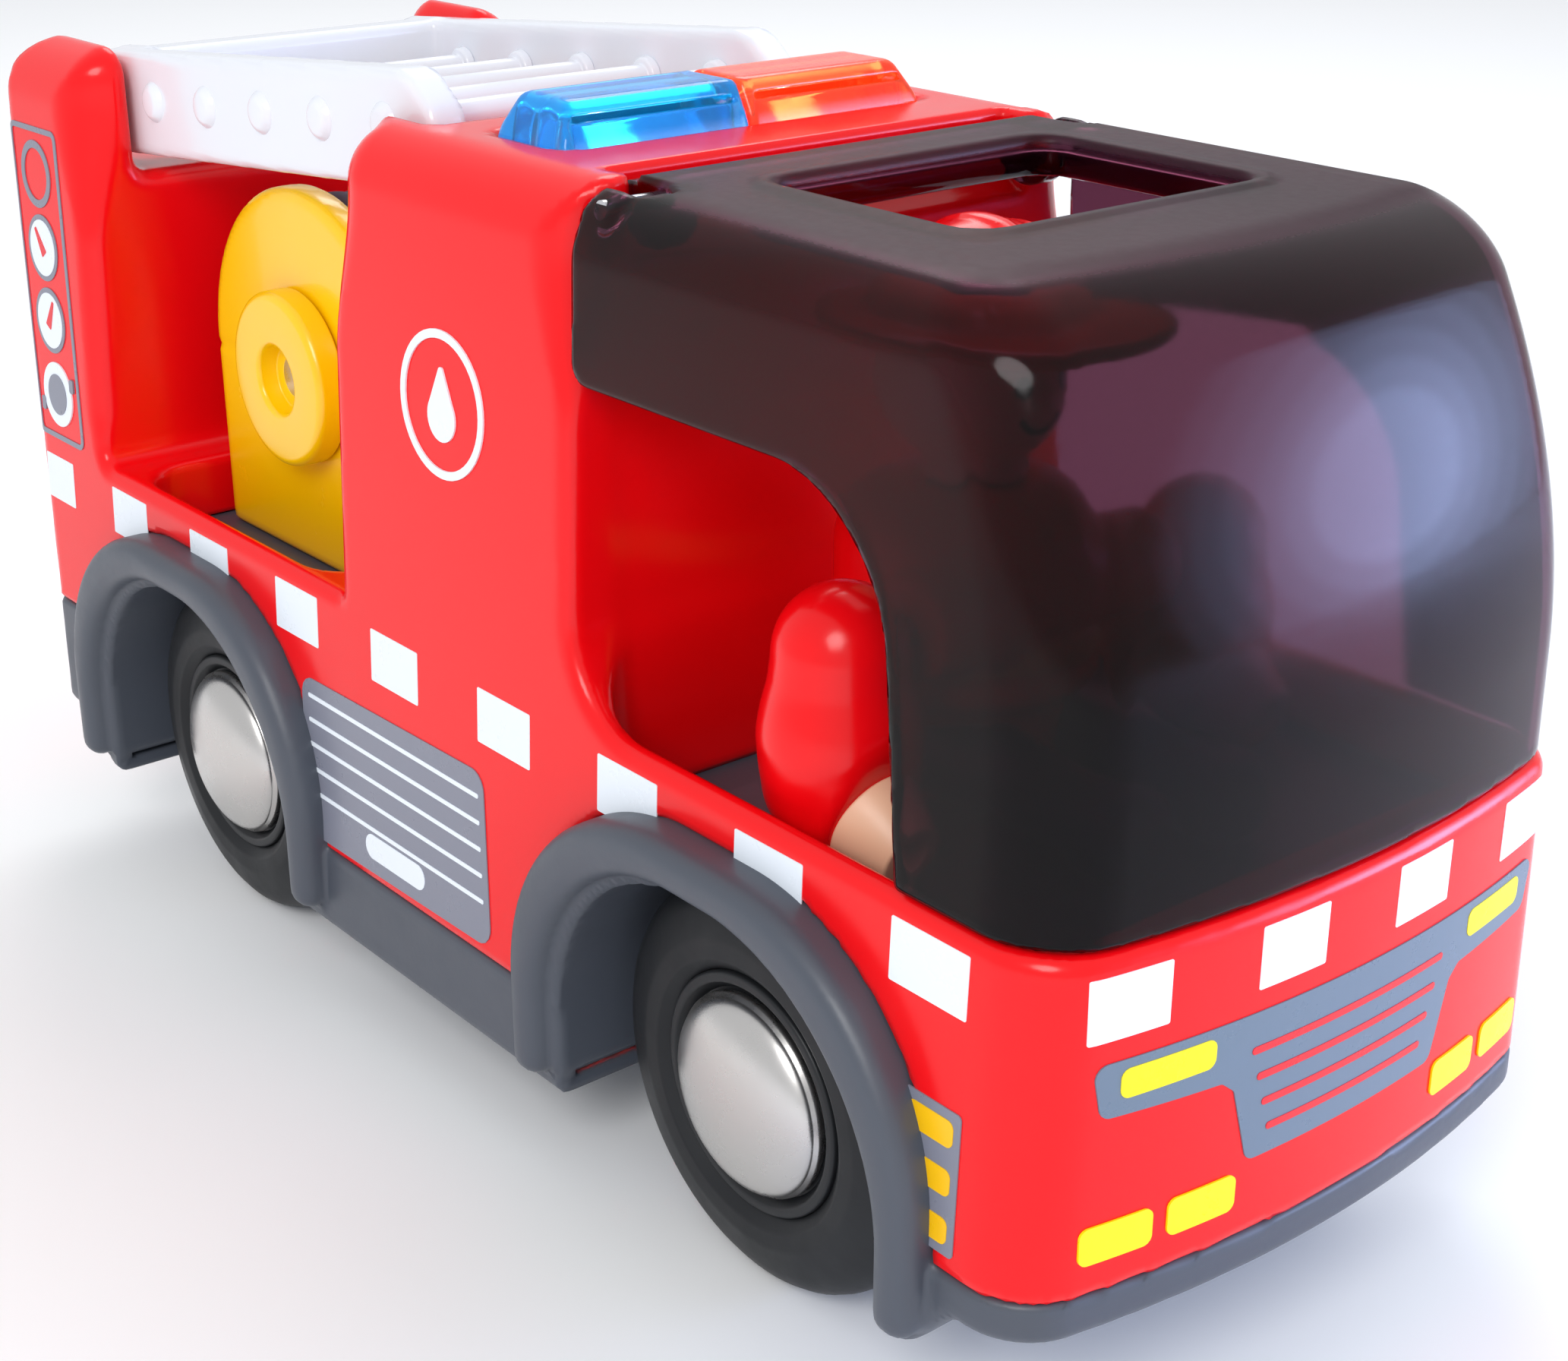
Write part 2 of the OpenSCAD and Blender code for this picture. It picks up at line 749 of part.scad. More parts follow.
module ladder_rungs() {
  w = ladder_w / 2;
  dome_r = 4.2;
  color("white") on_ladder() for (i = [0 : 4])
    translate([rung_u0 + i * rung_pitch, 0, rung_v]) rotate([90, 0, 0]) {
      cylinder(r = rung_r, h = 2 * w + 0.2, center = true);
      for (s = sides) rotate([s > 0 ? 180 : 0, 0, 0]) {
        intersection() {
          translate([0, 0, w + 1.2 - dome_r]) sphere(r = dome_r);
          translate([0, 0, w]) cylinder(r = 3.2, h = 2);
        }
        translate([0, 0, w - rail_t - 1.4]) cylinder(r = 3.2, h = 1.4);
      }
    }
}

module ladder_pins() {
  w = ladder_w / 2;
  color("silver") for (s = sides)
    side_slab(s, w - rail_t, notch_half_w + 5.8) translate([pivot_x, pivot_z]) circle(pivot_r);
}

// Hose reel
module reel_cheek(side) {
  foot_z = pit_z;
  cheek_t = 5;
  w = cheek_r;
  color("gold") difference() {
    side_slab(side, cheek_y - cheek_t, cheek_y) polygon(concat(
      [[reel_x - w, foot_z], [reel_x + w, foot_z]],
      arc(reel_x, reel_z, w, 0, 180, 32)
    ));
    y_rod(reel_x, reel_z, shaft_r + fit, -60, 60);
  }
}

module reel_drum() {
  w = cheek_y - 5.4;
  color("gold") difference() {
    y_rod(reel_x, reel_z, 11, -w, w);
    y_rod(reel_x, reel_z, shaft_r, -60, 60);
  }
}

module reel_hose() {
  w = cheek_y - 6;
  color("indigo") difference() {
    y_rod(reel_x, reel_z, hose_r, -w, w);
    y_rod(reel_x, reel_z, 11, -60, 60);
  }
}

module reel_shaft() {
  w = cheek_y + 1.6;
  color("silver") y_rod(reel_x, reel_z, shaft_r, -w, w);
}

module reel_knob(side) {
  depth = 4.4;
  color("gold") difference() {
    side_slab(side, cheek_y + 0.3, cheek_y + 0.3 + depth) translate([reel_x, reel_z]) circle(knob_r);
    side_slab(side, cheek_y, cheek_y + 1.6) translate([reel_x, reel_z]) circle(shaft_r);
    side_slab(side, cheek_y + 1.6, cheek_y + 9) translate([reel_x, reel_z]) circle(5.1);
  }
}

// Driver, seated facing forward

module torso_volume() {
  translate([driver_x, 0, pit_z]) rotate_extrude($fn = 96) polygon(concat(
    [[0, 0], [hip_r, 0], [hip_r, 11], [chest_r, 14]], arc(9, 29.2, 8, 0, 90, 8), [[0, 37.2]]
  ));
}

module driver_torso() {
  yoke_r = 6.5;
  yoke_half_w = 19.6;
  color("red") difference() {
    union() {
      torso_volume();
      y_rod(arm_x, shoulder_z, yoke_r, -yoke_half_w, yoke_half_w);
    }
    y_rod(arm_x, shoulder_z, 2, -60, 60);
    translate([driver_x, 0, band_z]) difference() {
      cylinder(r = 30, h = 4);
      translate([0, 0, -1]) cylinder(r = 16, h = 6);
    }
  }
}

module driver_jacket_band() {
  color("yellow") translate([driver_x, 0, band_z]) difference() {
    cylinder(r = chest_r + 0.4, h = 4, $fn = 96);
    translate([0, 0, -1]) cylinder(r = 16, h = 6);
  }
}

module driver_legs() {
  leg_r = 5.4;
  reach = 33;
  color("navy") difference() {
    for (s = sides) translate([driver_x, s * 8, pit_z + leg_r + 0.1]) rotate([0, 90, 0]) {
      cylinder(r = leg_r, h = reach);
      translate([0, 0, reach]) sphere(r = leg_r);
    }
    torso_volume();
  }
}

module driver_head() {
  color([0.96, 0.78, 0.6]) translate([driver_x, 0, 0]) {
    translate([0, 0, 94.2]) cylinder(r = 6, h = 5);
    intersection() {
      translate([0, 0, 108]) sphere(r = 12.4, $fn = 96);
      translate([0, 0, 80]) cylinder(r = 20, h = 31);
    }
  }
}

module driver_helmet() {
  brim_z = 112.5;
  color("red") translate([driver_x, 0, 0]) difference() {
    union() {
      translate([0, 0, 111.4]) sphere(r = helmet_r, $fn = 96);
      translate([0, 0, brim_z]) cylinder(r = 19, h = 2.4, $fn = 96);
      translate([6, 0, brim_z]) cylinder(r = 18, h = 2.4, $fn = 96);
    }
    translate([0, 0, 90]) cylinder(r = 60, h = 21.2);
    intersection() {
      translate([0, 0, 108]) sphere(r = 12.6, $fn = 96);
      translate([0, 0, 80]) cylinder(r = 20, h = 40);
    }
  }
}

// Puts a piece turned about Z on the cuff, pointing forward and down
module on_cuff(side) {
  translate([cuff_x, side * arm_y, cuff_z]) rotate([0, 90 + cuff_drop, 0]) children();
}

// Egg-shaped sleeve with a short forearm and a cuff
module driver_arm(side) {
  top_r = 8.3;
  forearm = 9;
  color("red") difference() {
    union() {
      translate([arm_x, side * arm_y, 0]) rotate_extrude($fn = 64) polygon(concat(
        [[0, shoulder_z + top_r]],
        arc(0, shoulder_z, top_r, 80, 15, 5),
        [[9.1, 77], [sleeve_r, 72], [9.1, 67.5]],
        arc(0.8, 65.4, 8, -5, -85, 7),
        [[0, 57.4]]
      ));
      on_cuff(side) translate([0, 0, -forearm]) cylinder(r = cuff_r, h = forearm, $fn = 64);
    }
    on_cuff(side) translate([-30, -30, 0]) cube(60);
    y_rod(arm_x, shoulder_z, 2, side > 0 ? 10 : -arm_y, side > 0 ? arm_y : -10);
  }
}

module driver_hand(side) {
  reach = 7;
  color([0.98, 0.8, 0.64]) on_cuff(side) difference() {
    rotate_extrude($fn = 64) polygon([[0, 0], [cuff_r - 0.4, 0], [4.4, reach], [0, reach]]);
    translate([0, 0, 3]) cylinder(r = 2.6, h = reach);
  }
}

module driver_shoulder_pin() {
  color("silver") y_rod(arm_x, shoulder_z, 1.94, -arm_y, arm_y);
}

body_shell();
chassis();
bay_floor();
cab_floor();
battery_door();
chassis_screws();
tyre(axle_x, -1);  // tyre_front_right
tyre(axle_x, 1);  // tyre_front_left
tyre(-axle_x, -1);  // tyre_rear_right
tyre(-axle_x, 1);  // tyre_rear_left
core(axle_x, -1);  // core_front_right
core(axle_x, 1);  // core_front_left
core(-axle_x, -1);  // core_rear_right
core(-axle_x, 1);  // core_rear_left
hub_cap(axle_x, -1);  // hub_cap_front_right
hub_cap(axle_x, 1);  // hub_cap_front_left
hub_cap(-axle_x, -1);  // hub_cap_rear_right
hub_cap(-axle_x, 1);  // hub_cap_rear_left
axle(axle_x);  // front_axle
axle(-axle_x);  // rear_axle
canopy();
canopy_pins();
light_base();
lens_blue();
lens_red();
button_spring();
light_board();
light_lamps();
main_board();
siren_switch();
speaker();
battery_box();
battery(-1);  // battery_right
battery(1);  // battery_left
battery_contacts();
ladder_frame();
ladder_rungs();
ladder_pins();
reel_cheek(-1);  // reel_cheek_right
reel_cheek(1);  // reel_cheek_left
reel_drum();
reel_hose();
reel_shaft();
reel_knob(-1);  // reel_knob_right
reel_knob(1);  // reel_knob_left
driver_torso();
driver_jacket_band();
driver_legs();
driver_head();
driver_helmet();
driver_arm(-1);  // driver_arm_right
driver_arm(1);  // driver_arm_left
driver_hand(-1);  // driver_hand_right
driver_hand(1);  // driver_hand_left
driver_shoulder_pin();
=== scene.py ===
"""Looks of a push-along toy fire truck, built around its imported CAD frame.

Moulded parts are signed distance fields in millimetres, meshed with surface nets; turned parts are
lathed; printed graphics are thin plates laid on the moulded surfaces. +X is the truck's front.
"""
import json
import math

import bmesh
import bpy
import numpy as np
from mathutils import Matrix, Vector


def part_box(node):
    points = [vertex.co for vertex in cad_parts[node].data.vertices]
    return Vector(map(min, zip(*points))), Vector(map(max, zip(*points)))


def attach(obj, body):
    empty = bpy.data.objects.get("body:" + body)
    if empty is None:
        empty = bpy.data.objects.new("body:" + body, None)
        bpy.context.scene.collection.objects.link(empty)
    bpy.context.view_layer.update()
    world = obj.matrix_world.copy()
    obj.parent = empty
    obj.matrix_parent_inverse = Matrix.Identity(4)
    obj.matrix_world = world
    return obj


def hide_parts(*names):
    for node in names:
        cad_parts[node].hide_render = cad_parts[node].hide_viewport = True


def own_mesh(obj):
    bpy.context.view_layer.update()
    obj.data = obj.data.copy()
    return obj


MM = 0.001
SIDES = {"right": -1, "left": 1}
AXLES = {"front": 1, "rear": -1}

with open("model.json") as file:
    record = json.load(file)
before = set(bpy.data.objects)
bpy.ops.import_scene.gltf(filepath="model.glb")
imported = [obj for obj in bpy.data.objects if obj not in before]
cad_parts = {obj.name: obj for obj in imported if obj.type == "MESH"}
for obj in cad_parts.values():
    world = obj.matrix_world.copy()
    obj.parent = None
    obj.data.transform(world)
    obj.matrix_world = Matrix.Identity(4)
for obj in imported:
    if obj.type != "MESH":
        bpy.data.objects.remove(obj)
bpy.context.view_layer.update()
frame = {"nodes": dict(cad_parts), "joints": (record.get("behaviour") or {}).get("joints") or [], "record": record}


def mm_box(node):
    """Lowest and highest corner of a CAD node in millimetres."""
    low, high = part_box(node)
    return np.array(low) / MM, np.array(high) / MM


def joint_mm(name):
    """Position of a joint in millimetres."""
    joint = next(j for j in frame["joints"] if j["name"] == name)
    return np.array(joint["pos_m"]) / MM


# ---------------------------------------------------------------- driving sizes, in millimetres
shell_high = mm_box("body_shell")[1]
chassis_low, chassis_high = mm_box("chassis")
HALF_LEN = shell_high[0]
ROOF_Z = shell_high[2]
SKIRT_Z = chassis_low[2]
FENDER_Y = chassis_high[1]
FENDER_TOP = chassis_high[2]
AXLE_X = joint_mm("front_axle_spin")[0]
TYRE_R = joint_mm("front_axle_spin")[2]
PIT_Z = mm_box("bay_floor")[1][2]
HINGE_X, _, HINGE_Z = joint_mm("canopy_hinge")
PIVOT_X, _, PIVOT_Z = joint_mm("ladder_raise")
REEL_X, _, REEL_Z = joint_mm("reel_spin")

BELT_HALF_W = 43.2
SIDE_LEAN = 0.044
BELT_Z = 66.4
SPLIT_Z = 26.3
REAR_SPLIT_Z = 39.3
NOSE_Z = 20.7
LEG_Z = 16.5
WALL = 2.4
BOW_R = 175.0
BOW_X = HALF_LEN - BOW_R
CORNER_R = 7.3
REAR_CORNER_R = 2.0
REAR_LEAN = 0.07
ROOF_EDGE_R = 7.5
REAR_WALL_X = -93.4
BLOCK_REAR_X = -19.5
BLOCK_FRONT_X = 33.9
NOTCH_HALF_W = 31.6
NOTCH_Z = 110.8
RECESS_X = -7.6
RECESS_Z = 118.0
POCKET_R = 8.1
EAR_Y0 = 31.6
EAR_Y1 = 35.0
KNUCKLE_R = 2.8
ARCH_HALF_W = 31.7
ARCH_R = 28.5
RIM = 5.8
TUNNEL_Y = 22.0
ARCH_Y = 39.6
PIT_SPANS = ((-86.5, -26.5), (34.1, 111.0))
PIT_HALF_W = 40.2
PIT_R = 8.0
PIT_WALL = 2.0
WELL_X = 46.4
WELL_Z = 53.0


# ---------------------------------------------------------------- distance field tools
def both(a, b, r=0.0):
    """Where a and b overlap, with a round edge of radius r."""
    if np.isscalar(r) and r == 0:
        return np.maximum(a, b)
    return np.minimum(np.maximum(a, b), -r) + np.hypot(np.maximum(a + r, 0), np.maximum(b + r, 0))


def either(a, b, r=0.0):
    """a and b together, with a fillet of radius r."""
    return -both(-a, -b, r)


def without(a, b, r=0.0):
    """a with b cut away, with a round edge of radius r."""
    return both(a, -b, r)


def ramp(v, start, end):
    """Smooth step from 0 at start to 1 at end."""
    t = np.clip((v - start) / (end - start), 0, 1)
    return t * t * (3 - 2 * t)


def rect(u, v, u0, u1, v0, v1, r=0.0):
    """Rounded rectangle."""
    qu = np.abs(u - (u0 + u1) / 2) - (u1 - u0) / 2 + r
    qv = np.abs(v - (v0 + v1) / 2) - (v1 - v0) / 2 + r
    return np.hypot(np.maximum(qu, 0), np.maximum(qv, 0)) + np.minimum(np.maximum(qu, qv), 0) - r


def block(x, y, z, low, high, r=0.0):
    """Rounded box."""
    q = [np.abs(p - (a + b) / 2) - (b - a) / 2 + r for p, a, b in zip((x, y, z), low, high)]
    outside = np.sqrt(sum(np.maximum(c, 0) ** 2 for c in q))
    return outside + np.minimum(np.maximum(np.maximum(q[0], q[1]), q[2]), 0) - r


def capsule(x, y, z, a, b, ra, rb):
    """Round bar from a to b whose radius goes from ra to rb."""
    ax, d = np.array(a, float), np.array(b, float) - np.array(a, float)
    px, py, pz = x - ax[0], y - ax[1], z - ax[2]
    t = np.clip((px * d[0] + py * d[1] + pz * d[2]) / (d @ d), 0, 1)
    return np.sqrt((px - t * d[0]) ** 2 + (py - t * d[1]) ** 2 + (pz - t * d[2]) ** 2) - (ra + (rb - ra) * t)


CORNERS = np.array([(i, j, k) for i in (0, 1) for j in (0, 1) for k in (0, 1)])
EDGES = [(a, b) for a in range(8) for b in range(a + 1, 8) if abs(CORNERS[a] - CORNERS[b]).sum() == 1]


def sample(field, low, counts, step):
    """Field values on a grid, worked out only in the tiles that the surface can pass through."""
    tile = 8
    values = np.full(counts, 1.0, np.float32)
    starts = [np.arange(0, n, tile) for n in counts]
    corner = np.stack(np.meshgrid(*starts, indexing="ij"), -1).reshape(-1, 3)
    centre = low + (corner + (tile - 1) / 2) * step
    near = field(*centre.T)
    reach = (tile + 1) * step * 0.9
    inside = corner[near < -reach]
    for i, j, k in inside:
        values[i:i + tile, j:j + tile, k:k + tile] = -1.0
    for i, j, k in corner[np.abs(near) <= reach]:
        cells = [np.arange(s, min(s + tile, n)) for s, n in zip((i, j, k), counts)]
        grid = np.meshgrid(*[low[a] + cells[a] * step for a in range(3)], indexing="ij")
        found = field(*[g.ravel() for g in grid]).reshape(grid[0].shape)
        values[i:i + tile, j:j + tile, k:k + tile] = found
    return values


def gradient(field, p, h=0.02):
    """Direction in which the field grows, at points p."""
    out = np.empty_like(p)
    for a in range(3):
        step = np.zeros(3)
        step[a] = h
        out[:, a] = field(*(p + step).T) - field(*(p - step).T)
    return out / (2 * h)


def surface(field, low, high, step):
    """Points and quads of the field's zero surface, drawn onto it exactly."""
    low = np.array(low, float) - 2.37 * step
    counts = tuple(np.ceil((np.array(high, float) - low) / step + 3).astype(int))
    values = sample(field, low, counts, step)
    inside = values < 0
    total = sum(inside[i:counts[0] - 1 + i, j:counts[1] - 1 + j, k:counts[2] - 1 + k].astype(np.int8)
                for i, j, k in CORNERS)
    cell = np.argwhere((total > 0) & (total < 8))
    number = np.full([n - 1 for n in counts], -1, np.int32)
    number[tuple(cell.T)] = np.arange(len(cell))
    at_corner = [values[tuple((cell + c).T)] for c in CORNERS]
    places, hits = np.zeros((len(cell), 3)), np.zeros(len(cell))
    for a, b in EDGES:
        cross = (at_corner[a] < 0) != (at_corner[b] < 0)
        gap = np.where(cross, at_corner[a] - at_corner[b], 1.0)
        t = np.where(cross, at_corner[a] / gap, 0)[:, None]
        places += np.where(cross[:, None], CORNERS[a] * (1 - t) + CORNERS[b] * t, 0)
        hits += cross
    points = low + (cell + places / hits[:, None]) * step
    for _ in range(4):
        slope = gradient(field, points)
        size = np.maximum((slope ** 2).sum(1), 0.05)
        move = (field(*points.T) / size)[:, None] * slope
        length = np.maximum(np.linalg.norm(move, axis=1), 1e-9)[:, None]
        points -= move * np.minimum(1, 0.6 * step / length)
    quads = []
    for axis in range(3):
        u, v = (axis + 1) % 3, (axis + 2) % 3
        ahead = np.roll(inside, -1, axis)
        found = np.argwhere(inside != ahead)
        found = found[(found[:, axis] < counts[axis] - 1) & (found[:, u] > 0) & (found[:, v] > 0)]
        around = []
        for du, dv in ((0, 0), (-1, 0), (-1, -1), (0, -1)):
            near = found.copy()
            near[:, u] += du
            near[:, v] += dv
            around.append(number[tuple(near.T)])
        quad = np.stack(around, 1)
        flip = ~inside[tuple(found.T)]
        quad[flip] = quad[flip][:, ::-1]
        quads.append(quad)
    return points, np.concatenate(quads)


# ---------------------------------------------------------------- mesh tools
def as_object(name, points, faces, smooth=True):
    """Mesh object from points in millimetres."""
    mesh = bpy.data.meshes.new(name)
    mesh.from_pydata((np.asarray(points, float) * MM).tolist(), [], [tuple(map(int, f)) for f in faces])
    mesh.validate()
    if smooth:
        mesh.shade_smooth()
    obj = bpy.data.objects.new(name, mesh)
    bpy.context.scene.collection.objects.link(obj)
    return obj


def joined(parts):
    """Points and faces of several meshes as one mesh."""
    faces, start = [], 0
    for points, own in parts:
        faces += [[start + i for i in face] for face in own]
        start += len(points)
    return np.concatenate([points for points, _ in parts]), faces


def finish_piece(obj, body, slot, material, *nodes):
    """Material, body and the CAD nodes that a piece stands for; the material slot argument is not used."""
    obj.data.materials.append(material)
    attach(obj, body)
    if nodes:
        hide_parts(*nodes)
    return obj


def moulded(name, field, node, step, body, slot, material):
    """Piece meshed from a distance field, within the box of the CAD node it replaces."""
    points, quads = surface(field, *mm_box(node), step)
    return finish_piece(as_object(name, points, quads), body, slot, material, node)


def rounded(points, radius, steps=5):
    """Closed outline with its corners rounded; radius is one number or one for each corner."""
    pts = np.array(points, float)
    radii = np.full(len(pts), radius, float) if np.isscalar(radius) else np.array(radius, float)
    out = []
    for i, p in enumerate(pts):
        to_last, to_next = pts[i - 1] - p, pts[(i + 1) % len(pts)] - p
        la, lb = np.linalg.norm(to_last), np.linalg.norm(to_next)
        a, b = to_last / la, to_next / lb
        half = math.acos(np.clip(a @ b, -1, 1)) / 2
        if radii[i] <= 0 or half > 1.55:
            out.append(p)
            continue
        cut = min(radii[i] / math.tan(half), 0.49 * la, 0.49 * lb)
        r = cut * math.tan(half)
        mid = (a + b) / np.linalg.norm(a + b)
        centre = p + mid * math.hypot(r, cut)
        for k in range(steps + 1):
            t = k / steps
            spoke = (p + a * cut - centre) * (1 - t) + (p + b * cut - centre) * t
            out.append(centre + spoke / np.linalg.norm(spoke) * r)
    return np.array(out)


def lathe(profile, turns=96):
    """Points and quads of a closed profile of (radius, height) turned about Z."""
    profile = np.array(profile, float)
    angle = np.linspace(0, 2 * math.pi, turns, endpoint=False)
    ring = np.stack([np.cos(angle), np.sin(angle)], 1)
    points = np.concatenate([np.concatenate([ring * r, np.full((turns, 1), h)], 1) for r, h in profile])
    quads = []
    n = len(profile)
    for i in range(n):
        j = (i + 1) % n
        if profile[i][0] < 1e-6 and profile[j][0] < 1e-6:
            continue
        for k in range(turns):
            m = (k + 1) % turns
            quads.append((i * turns + k, i * turns + m, j * turns + m, j * turns + k))
    return points, quads


def welded(obj):
    """Merges points that lie on each other and turns the faces outward."""
    bm = bmesh.new()
    bm.from_mesh(obj.data)
    bmesh.ops.remove_doubles(bm, verts=bm.verts, dist=1e-7)
    bmesh.ops.dissolve_degenerate(bm, edges=bm.edges, dist=1e-7)
    bmesh.ops.recalc_face_normals(bm, faces=bm.faces)
    bm.to_mesh(obj.data)
    bm.free()
    return obj


def turned(name, profile, place, *finish, turns=96):
    """Lathed piece; place maps its own points, with its axis on Z, into the frame."""
    points, quads = lathe(profile, turns)
    return finish_piece(welded(as_object(name, place(points), quads)), *finish)


def to_side(x, z, side):
    """Maps a lathe's axis Z to the truck's side, about the line through (x, z)."""
    def place(p):
        return np.stack([x + p[:, 0], side * p[:, 2], z + p[:, 1]], 1)
    return place


def sweep(path, radius, sides=12, across=None):
    """Points and quads of a tube along a path; across(i, angle) scales its radius."""
    path = np.array(path, float)
    ahead = np.gradient(path, axis=0)
    ahead /= np.linalg.norm(ahead, axis=1)[:, None]
    up = np.zeros_like(path)
    guide = np.array([0.0, 1.0, 0.0])
    for i, a in enumerate(ahead):
        guide = guide - a * (guide @ a)
        guide /= np.linalg.norm(guide)
        up[i] = guide
    out = np.cross(ahead, up)
    angle = np.linspace(0, 2 * math.pi, sides, endpoint=False)
    grow = np.ones((len(path), sides)) if across is None else across(np.arange(len(path))[:, None], angle)
    ring = (np.cos(angle)[None, :, None] * up[:, None] + np.sin(angle)[None, :, None] * out[:, None])
    points = path[:, None] + ring * (radius * grow)[:, :, None]
    quads = []
    for i in range(len(path) - 1):
        for k in range(sides):
            m = (k + 1) % sides
            quads.append((i * sides + k, i * sides + m, (i + 1) * sides + m, (i + 1) * sides + k))
    ends = [tuple(range(sides))[::-1], tuple((len(path) - 1) * sides + k for k in range(sides))]
    return points.reshape(-1, 3), quads + ends


# ---------------------------------------------------------------- materials
def shader(name):
    """New material with its node tree and its Principled shader."""
    material = bpy.data.materials.new(name)
    material.use_nodes = True
    tree = material.node_tree
    return material, tree, tree.nodes["Principled BSDF"]


def noise(tree, scale, detail=4.0, rough=0.55):
    """Noise texture in the object's own metres."""
    place = tree.nodes.new("ShaderNodeTexCoord")
    node = tree.nodes.new("ShaderNodeTexNoise")
    node.inputs["Scale"].default_value = scale
    node.inputs["Detail"].default_value = detail
    node.inputs["Roughness"].default_value = rough
    tree.links.new(place.outputs["Object"], node.inputs["Vector"])
    return node


def between(tree, source, low, high, start=0.3, end=0.7):
    """Map Range node from a noise value to a number."""
    node = tree.nodes.new("ShaderNodeMapRange")
    node.inputs["From Min"].default_value = start
    node.inputs["From Max"].default_value = end
    node.inputs["To Min"].default_value = low
    node.inputs["To Max"].default_value = high
    tree.links.new(source, node.inputs["Value"])
    return node.outputs["Result"]


def tinted(tree, source, colour, change):
    """Colour that drifts a little between two tones of itself."""
    mix = tree.nodes.new("ShaderNodeMix")
    mix.data_type = "RGBA"
    mix.inputs["A"].default_value = (*[c * (1 - change) for c in colour], 1)
    mix.inputs["B"].default_value = (*[min(1, c * (1 + change)) for c in colour], 1)
    tree.links.new(source, mix.inputs["Factor"])
    return mix.outputs["Result"]


def bumped(tree, bsdf, source, strength, distance):
    """Bump on a shader from a height."""
    node = tree.nodes.new("ShaderNodeBump")
    node.inputs["Strength"].default_value = strength
    node.inputs["Distance"].default_value = distance
    tree.links.new(source, node.inputs["Height"])
    tree.links.new(node.outputs["Normal"], bsdf.inputs["Normal"])


def plastic(name, colour, rough=(0.22, 0.3), grain=900.0, height=0.00002, coat=0.0, drift=0.04, metal=0.0,
            shine=0.5):
    """Moulded plastic: a slow drift of colour, handling marks in its gloss and a fine moulded grain."""
    material, tree, bsdf = shader(name)
    slow = noise(tree, 18.0, 3.0)
    marks = noise(tree, 140.0, 6.0, 0.65)
    fine = noise(tree, grain, 2.0)
    tree.links.new(tinted(tree, slow.outputs["Fac"], colour, drift), bsdf.inputs["Base Color"])
    tree.links.new(between(tree, marks.outputs["Fac"], *rough), bsdf.inputs["Roughness"])
    if height:
        bumped(tree, bsdf, fine.outputs["Fac"], 0.25, height)
    bsdf.inputs["Metallic"].default_value = metal
    bsdf.inputs["Specular IOR Level"].default_value = shine
    bsdf.inputs["Coat Weight"].default_value = coat
    bsdf.inputs["Coat Roughness"].default_value = 0.08
    return material


def clear(name, colour, rough, glow=0.0, glow_colour=(1, 1, 1)):
    """Tinted see-through plastic."""
    material, tree, bsdf = shader(name)
    slow = noise(tree, 25.0, 2.0)
    fine = noise(tree, 700.0, 2.0)
    tree.links.new(tinted(tree, slow.outputs["Fac"], colour, 0.03), bsdf.inputs["Base Color"])
    tree.links.new(between(tree, fine.outputs["Fac"], *rough), bsdf.inputs["Roughness"])
    bsdf.inputs["Transmission Weight"].default_value = 1.0
    bsdf.inputs["IOR"].default_value = 1.45
    if glow:
        bsdf.inputs["Emission Color"].default_value = (*glow_colour, 1)
        bsdf.inputs["Emission Strength"].default_value = glow
    return material


def smoky(name, colour):
    """Dark see-through plastic: polished sides, satin on top of the roof."""
    material, tree, bsdf = shader(name)
    slow = noise(tree, 25.0, 2.0)
    fine = noise(tree, 700.0, 2.0)
    tree.links.new(tinted(tree, slow.outputs["Fac"], colour, 0.05), bsdf.inputs["Base Color"])
    place = tree.nodes.new("ShaderNodeTexCoord")
    axes = tree.nodes.new("ShaderNodeSeparateXYZ")
    tree.links.new(place.outputs["Object"], axes.inputs["Vector"])
    satin = between(tree, axes.outputs["Z"], 0.0, 0.36, (ROOF_Z - 1.4) * MM, (ROOF_Z - 0.3) * MM)
    add = tree.nodes.new("ShaderNodeMath")
    tree.links.new(between(tree, fine.outputs["Fac"], 0.08, 0.12), add.inputs[0])
    tree.links.new(satin, add.inputs[1])
    tree.links.new(add.outputs["Value"], bsdf.inputs["Roughness"])
    bsdf.inputs["Transmission Weight"].default_value = 1.0
    bsdf.inputs["IOR"].default_value = 1.25
    return material


TINT = smoky("smoky tinted plastic", (0.09, 0.024, 0.046))


def glowing(name, colour, strength):
    """Lit lamp."""
    material, tree, bsdf = shader(name)
    slow = noise(tree, 300.0, 2.0)
    tree.links.new(tinted(tree, slow.outputs["Fac"], colour, 0.05), bsdf.inputs["Base Color"])
    bsdf.inputs["Emission Color"].default_value = (*colour, 1)
    bsdf.inputs["Emission Strength"].default_value = strength
    return material


